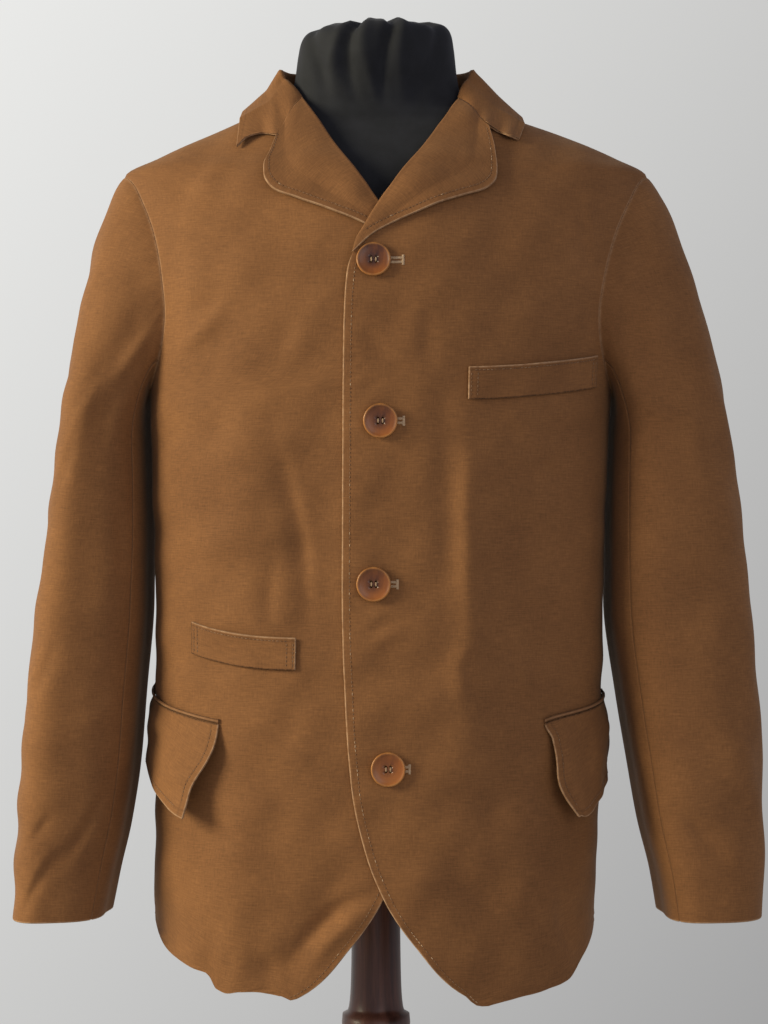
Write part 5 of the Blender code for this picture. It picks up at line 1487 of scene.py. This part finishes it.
def build_sleeve(label, side, sections, creases):
    edge, out, into = sleeve_seam(side)
    count = len(edge)
    angles = np.arange(count) * 2 * math.pi / count
    outer, start = sleeve_grid(edge, out, into, angles, side, sections)
    normal = grid_normals(outer, closed=True) * side
    drop = np.linalg.norm(outer - start[None], axis=-1)
    outer = outer + sleeve_height(outer, drop, angles, side, creases)[..., None] * normal
    inner = outer - CLOTH * normal
    at_seam, at_end, way_back = (start - depth * CLOTH * out for depth in TURNING_DEPTHS)
    inner[-1], inner[-2], inner[-3] = at_seam, at_end - SLEEVE_TURNING * into, way_back
    worn = SLEEVE_WEAR * np.exp(-((drop / SEAM_WEAR_REACH) ** 2))
    seams = (round(SLEEVE_FRONT_SEAM * count), round(SLEEVE_BACK_SEAM * count))
    top = np.arange(seams[0], seams[1] + 1)
    under = np.arange(seams[1], count + seams[0] + 1) % count
    free = (FREE, 0, 0, 0)
    for part, places in (("top", top), ("under", under)):
        places = places if side > 0 else places[::-1]
        cut_outer = pull(outer[:, places], columns=(0, -1))
        cut_inner = pull(inner[:, places], columns=(0, -1))
        name = f"sleeve_{part}_{label}"
        piece = cloth(f"cloth_{name}", cut_outer, cut_inner, duck, free, TURNED_RIM, worn[:, places])
        keep(piece, name)


# Pockets
def patch(around, z, side, height):
    """Grid of points laid on a front, moved out by height, from shares of the ring and heights."""
    row = row_at(z)
    base, normal = front_face(side * around, row, side)
    return base + np.asarray(height)[..., None] * normal


def laid_cloth(name, points, side, free, rim, stitched, sunk=(), worn=None):
    """Shell laid on a front.

    stitched holds rows of stitches: edge, distance from it, lengths left bare at its ends.
    sunk names the edges that are sewn down; they darken at full strength, painted shade where the piece
    meets the front.
    """
    if side < 0:
        points = points[:, ::-1]
        free = (free[0], free[3], free[2], free[1])
        swap = {"left": "right", "right": "left"}
        stitched = [
            (swap.get(edge, edge), far, trim if edge in swap else trim[::-1])
            for edge, far, trim in stitched
        ]
        sunk = [swap.get(edge, edge) for edge in sunk]
    normal = grid_normals(points)
    for edge, far, trim in stitched:
        sewing.sew(*inset_path(points, normal, edge, far, trim), rng)
    # Stitch rows darken as stitch lines with painted shade; sewn-down edges darken fully with painted shade
    # between the parts
    lines = [(edge, far, STITCH_DARK) for edge, far, _ in stitched] + [(edge, 0.0, 1.0) for edge in sunk]
    piece = cloth(f"cloth_{name}", points, points - CLOTH * normal, duck, free, rim, worn, lines)
    keep(piece, name)


def build_welt(name, sizes, side):
    near, far, z_near, rise, bend, depth = sizes
    f = spaced(WELT_COLUMNS, WELT_WIDTH)[None, :]
    g = spaced(WELT_ROWS, depth, WELT_LINES)[:, None]
    z = z_near + rise * f**bend - depth * (1 - g)
    around = near + (far - near) * f + 0 * g
    wave = 1.0
    for high, pace, start in WELT_WAVES:
        wave = wave + high * np.sin(2 * math.pi * (pace * f + start))
    gape = CLOTH + CLEAR + WELT_GAPE * (WELT_LIFT + g**3 * np.sin(math.pi * f) * wave)
    points = patch(around, z, side, gape)
    laid_cloth(name, points, side, (0, 0, FREE, FREE), TURNED_RIM, WELT_SEWING, ("bottom", "right"))


def flap_lean(g, side, lean):
    """How far the flap's front edge leans back on the way down.

    It is an S on the right flap; the left one has a heel at its top and a round lower corner.
    """
    if side < 0:
        return lean * (FLAP_S_SHARE * ease((g - FLAP_S_START) / FLAP_S_RUN) + (1 - FLAP_S_SHARE) * g)
    lower = np.clip(2 * g - 1, 0, 1) ** FLAP_CURVE_POWER
    return lean * (FLAP_HEEL_SHARE * ease(g / FLAP_HEEL_RUN) + (1 - FLAP_HEEL_SHARE) * lower)


def build_flap(label, side):
    near, far, z_near, z_far, bend, lean, stand_off, deep, deep_rear = FLAPS[side]
    f = spaced(FLAP_COLUMNS, FLAP_WIDTH)[None, :]
    g = (1 - spaced(FLAP_ROWS, FLAP_DEPTH))[:, None]
    depth = deep + (deep_rear - deep) * f
    if side > 0:
        depth = depth - FLAP_CORNER_ROUND * np.exp(-((f / FLAP_CORNER_REACH) ** 2))
    around = near + (far - near) * f + flap_lean(g, side, lean) * (1 - f) ** 2
    z = z_near + (z_far - z_near) * f**bend - depth * g
    off = stand_off * g**FLAP_LIFT_CURVE * np.exp(-((f / FLAP_LIFT_REACH) ** 2))
    off = off + FLAP_HEM_OFF * ease(g / FLAP_HEM_REACH)
    ripple = waves(f * FLAP_WIDTH, g * FLAP_DEPTH, SEEDS["flap"] + side, FLAP_RIPPLE_LENGTH)
    off = off + FLAP_RIPPLE * ease(g / FLAP_RIPPLE_REACH) * ripple
    points = patch(around, z - SEAM, side, CLOTH + CLEAR + np.maximum(off, 0.0))
    rows = [("left", STITCH_INSET, FLAP_SEWING_BARE_LEFT), ("bottom", STITCH_INSET, FLAP_SEWING_BARE_BOTTOM)]
    laid_cloth(f"flap_{label}", points, side, (FREE, FREE, 0, FREE), TURNED_RIM, rows, ("top",))


def build_jet(label, side):
    near, far, z_near, z_far, bend, *_ = FLAPS[side]
    f = spaced(FLAP_COLUMNS, FLAP_WIDTH)[None, :]
    g = np.linspace(0, 1, JET_ROWS)[:, None]
    z = z_near + (z_far - z_near) * f**bend + SEAM + JET_HEIGHT * g
    around = near - JET_PAST_FLAP + (far - near + JET_PAST_FLAP) * f + 0 * g
    ends = ease(f / JET_TAPER_FRONT) * ease((1 - f) / JET_TAPER_REAR)
    points = patch(around, z, side, CLOTH + CLEAR + JET_ROUND * np.sin(math.pi * g) * ends)
    crest = JET_WEAR * np.sin(math.pi * g) ** 3 + 0 * f
    laid_cloth(f"jet_{label}", points, side, (0, 0, 0, 0), PLAIN_RIM, (), ("top", "bottom"), crest)


# Buttons and their holes
def turned(name, profile, steps, material):
    """Body of turning: the profile runs from the axis at the top down its outer side to the axis."""
    profile = np.array([(0.0, profile[0][1])] + list(profile) + [(0.0, profile[-1][1])])
    turn = np.arange(steps) * 2 * math.pi / steps
    radius, height = profile[1:-1, :1], np.repeat(profile[1:-1, 1:], steps, axis=1)
    rings = np.stack([radius * np.cos(turn), radius * np.sin(turn), height], axis=-1)
    count = len(rings) * steps
    points = np.concatenate([rings.reshape(-1, 3), [(0, 0, profile[0][1]), (0, 0, profile[-1][1])]])
    faces = []
    for ring in range(len(rings) - 1):
        for k in range(steps):
            a, b = ring * steps + k, ring * steps + (k + 1) % steps
            faces.append((a, a + steps, b + steps, b))
    for k in range(steps):
        after = (k + 1) % steps
        faces.append((count, k, after))
        faces.append((count + 1, count - steps + after, count - steps + k))
    return new_piece(name, points, faces, material)


def button_mesh():
    """Turned button with four holes."""
    profile = [(BUTTON_RADIUS * out, BUTTON_RIM * up) for out, up in BUTTON_PROFILE]
    blank = turned("button_blank", profile, BUTTON_STEPS, horn)
    holes = []
    for quarter_turn in range(4):
        angle = math.pi / 4 + quarter_turn * math.pi / 2
        work = bmesh.new()
        size = dict(radius1=BUTTON_HOLE_RADIUS, radius2=BUTTON_HOLE_RADIUS, depth=BUTTON_RIM * 3)
        bmesh.ops.create_cone(work, cap_ends=True, segments=BUTTON_HOLE_STEPS, **size)
        place = (BUTTON_HOLE_OUT * math.cos(angle), BUTTON_HOLE_OUT * math.sin(angle), BUTTON_RIM / 2)
        bmesh.ops.translate(work, verts=work.verts, vec=place)
        mesh = bpy.data.meshes.new("button_hole")
        work.to_mesh(mesh)
        work.free()
        holes.append(new_object("button_hole", mesh))
        cut = blank.modifiers.new("hole", "BOOLEAN")
        cut.operation, cut.solver, cut.object = "DIFFERENCE", "EXACT", holes[-1]
    bpy.context.view_layer.update()
    done = bpy.data.meshes.new_from_object(blank.evaluated_get(bpy.context.evaluated_depsgraph_get()))
    for old in holes + [blank]:
        bpy.data.objects.remove(old)
    return done


def tint_button(mesh, pale):
    """Values for the colour at each point of one button, with painted light: a lighter lower side, a darker
    upper side and a painted highlight on the rim.
    """
    points = np.zeros(len(mesh.vertices) * 3)
    mesh.vertices.foreach_get("co", points)
    flat = points.reshape(-1, 3)[:, :2] / BUTTON_RADIUS
    out = np.linalg.norm(flat, axis=1)
    # Painted light: the lower side lighter and the upper side darker
    lower = ease(BUTTON_PAINTED_LIGHT_MIDDLE - BUTTON_PAINTED_LIGHT_Y * flat[:, 1] - BUTTON_PAINTED_LIGHT_X * flat[:, 0])
    band = BUTTON_BAND_TONE * ease((out - BUTTON_BAND_START) / BUTTON_BAND_RUN)
    tone = pale * BUTTON_PALE_TONE + (BUTTON_UPPER_SHADE_TONE + (1 - BUTTON_UPPER_SHADE_TONE) * lower) * band
    # Painted highlight: a pale ring at the rim and more on the lower side
    rim = ease((out - BUTTON_RIM_START) / BUTTON_RIM_RUN) + BUTTON_RIM_HIGHLIGHT * pale * lower
    for label, value in (("rim", rim), ("tone", tone)):
        mesh.attributes.new(label, "FLOAT", "POINT").data.foreach_set("value", value.astype(np.float32))


def build_buttons():
    shape = button_mesh()
    for number, (x, z, lift, hole_reach, pale) in enumerate(BUTTONS, start=1):
        row = row_at(z)
        face, normal = front_face(around_at(x, row), row, 1)
        up = unit(np.array([0, 0, 1.0]) - normal[2] * normal)
        right = np.cross(up, normal)
        turn = np.eye(4)
        turn[:3, 0], turn[:3, 1], turn[:3, 2], turn[:3, 3] = right, up, normal, face + lift * normal
        mesh = shape.copy()
        tint_button(mesh, pale)
        piece = new_object(f"horn_button_{number}", mesh)
        piece.matrix_world = Matrix(turn.tolist())
        keep(piece, f"button_{number}")
        well = face + (lift + BUTTON_RIM * BUTTON_THREAD_UP + THREAD_LIFT) * normal
        half = BUTTON_HOLE_OUT / math.sqrt(2)
        for sign in (-1, 1):
            for strand in (-STRAND_RADIUS, STRAND_RADIUS):
                middle = well + right * (sign * half + strand)
                sewing.add(middle, up, normal, 2 * half * STRAND_LENGTH, STRAND_RADIUS, STRAND_TONE)
        ends = (x + BUTTON_RADIUS * HOLE_START, x + hole_reach)
        for height in (HOLE_HALF, -HOLE_HALF):
            for place in np.arange(ends[0], ends[1], PURL_STEP):
                purl(place, z + height, up, PURL_TONE)
        for rise in np.arange(-HOLE_BAR_HALF, HOLE_BAR_HALF, PURL_STEP):
            purl(ends[1] + HOLE_BAR_GAP, z + rise, right, PURL_BAR_TONE)


def purl(x, z, way, tone):
    """One buttonhole stitch over the left front."""
    row = row_at(z)
    face, normal = front_face(around_at(x, row), row, 1)
    way = unit(way - (way @ normal) * normal)
    length = PURL_LENGTH * rng.uniform(*PURL_LENGTHS)
    tone = tone * rng.uniform(*PURL_TONES)
    sewing.add(face + THREAD_LIFT * normal, way, normal, length, PURL_RADIUS, tone)


# Form and stand
def build_form():
    low = np.linspace(0, FORM_NECK_SECTION, FORM_BODY_ROWS)[:-1]
    high = np.linspace(FORM_NECK_SECTION, len(FORM_SECTIONS) - 1, FORM_NECK_ROWS)
    heights = np.concatenate([low, high])
    columns = [smooth(column, heights)[:, None] for column in zip(*FORM_SECTIONS)]
    z, half_width, front, back, squareness = columns
    share = np.linspace(0, 1, FORM_QUARTER)[None, :]
    shape = np.broadcast(z, share).shape
    grid = [np.broadcast_to(a, shape) for a in (half_width, front, back, squareness)]
    fx, fy = quarter(grid[0], grid[1], grid[3], np.broadcast_to(share, shape))
    bx, by = quarter(grid[0], grid[2], grid[3], np.broadcast_to(share, shape))
    x = np.concatenate([fx, bx[:, -2::-1], -bx[:, 1:], -fx[:, -2:0:-1]], axis=1)
    y = np.concatenate([-fy, by[:, -2::-1], by[:, 1:], -fy[:, -2:0:-1]], axis=1)
    points = np.stack([x, y, np.broadcast_to(z, x.shape)], axis=-1)
    normal = grid_normals(points, closed=True)
    turn = np.degrees(np.arctan2(x, -y))
    height = np.zeros(x.shape)
    for at, width, depth in NECK_FOLDS:
        lean = NECK_FOLD_SWAY * np.sin(NECK_FOLD_PACE * (points[..., 2] - NECK_FOLD_START) + at)
        off = (turn - at - lean + 180) % 360 - 180
        height += NECK_FOLD_DEPTH * depth * np.exp(-((off / width) ** 2))
    height = height * ease((points[..., 2] - NECK_FOLD_START) / NECK_FOLD_FADE)
    points = points + height[..., None] * normal
    tilt = ease((points[..., 2] - NECK_TOP_START) / NECK_TOP_FADE)
    uneven = NECK_TOP_UNEVEN * np.sin(np.radians(turn * NECK_TOP_WAVES + NECK_TOP_PHASE))
    points[..., 2] += tilt * (NECK_TOP_SLOPE * points[..., 0] + uneven)
    rows, count = x.shape
    flat = points.reshape(-1, 3)
    place = np.arange(rows * count).reshape(rows, count)
    after = np.roll(place, -1, axis=1)
    quads = np.stack([place[:-1], after[:-1], after[1:], place[1:]], axis=-1).reshape(-1, 4).tolist()
    ends = [flat[place[0]].mean(axis=0), flat[place[-1]].mean(axis=0) + np.array([0, 0, NECK_TOP_DOME])]
    first = rows * count
    for k in range(count):
        quads.append((first, place[0, (k + 1) % count], place[0, k]))
        quads.append((first + 1, place[-1, k], place[-1, (k + 1) % count]))
    piece = new_piece("form_body", np.concatenate([flat, ends]), quads, form_cloth)
    keep(piece, "dress_form")


def build_stand():
    for name, profile in (("stand_post", POST_PROFILE), ("stand_base", BASE_PROFILE)):
        fine = along(profile, np.linspace(0, 1, STAND_ROWS))
        keep(turned(f"turned_{name}", fine.tolist(), STAND_STEPS, mahogany), name)


def build_stage():
    work = bmesh.new()
    bmesh.ops.create_circle(work, cap_ends=True, segments=FLOOR_STEPS, radius=FLOOR_RADIUS)
    mesh = bpy.data.meshes.new("floor")
    work.to_mesh(mesh)
    work.free()
    floor = new_object("floor", mesh)
    floor.location.z = -FLOOR_DROP
    made, _, shader = new_material("floor", FLOOR_ROUGHNESS)
    shader.inputs["Base Color"].default_value = FLOOR_GREY
    mesh.materials.append(made)


def new_light(name, place, size, power, colour):
    light = bpy.data.lights.new(name, "AREA")
    light.shape = "DISK"
    light.size, light.energy, light.color = size, power, colour
    made = new_object(name, light)
    made.location = place
    made.rotation_euler = (Vector(LIGHT_AIM) - Vector(place)).to_track_quat("-Z", "Y").to_euler()


def build_light():
    """Wall that darkens to the lower right, a dim room in front of it, a window and a weak fill."""
    scene = bpy.context.scene
    scene.view_settings.view_transform = "Standard"
    world = bpy.data.worlds.new("studio")
    scene.world = world
    world.use_nodes = True
    n = Nodes(world.node_tree)
    background = world.node_tree.nodes["Background"]
    way = n.new("ShaderNodeTexCoord").outputs["Generated"]
    parts = n.new("ShaderNodeSeparateXYZ", [(0, way)]).outputs
    lean = n.math("ADD", n.math("MULTIPLY", parts[0], -1.0), n.math("MULTIPLY", parts[2], WALL_LEAN))
    share = n.between(lean, -WALL_REACH, WALL_REACH)
    wall = n.mix(share, WALL_SHADE, WALL_LIGHT)
    colour = n.mix(n.between(parts[1], *ROOM_TO_WALL), ROOM, wall)
    colour = n.mix(n.between(parts[2], *WALL_TO_CEILING), colour, CEILING)
    world.node_tree.links.new(colour, background.inputs["Color"])
    background.inputs["Strength"].default_value = 1.0
    new_light("window", WINDOW_PLACE, WINDOW_SIZE, WINDOW_POWER, WINDOW_LIGHT)
    new_light("far_wall", FILL_PLACE, FILL_SIZE, FILL_POWER, FILL_LIGHT)


for label, side, sections, creases in (
    ("left", 1, SLEEVE_LEFT, SLEEVE_CREASES_LEFT),
    ("right", -1, SLEEVE_RIGHT, SLEEVE_CREASES_RIGHT),
):
    build_front(label, side)
    build_lapel(label, side)
    build_sleeve(label, side, sections, creases)
    build_flap(label, side)
    build_jet(label, side)
build_back()
build_collar()
build_welt("breast_welt", BREAST_WELT, 1)
build_welt("watch_welt", WATCH_WELT, -1)
build_buttons()
build_form()
build_stand()
stitching = sewing.piece("stitching", thread)
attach(stitching, "root")
build_stage()
build_light()
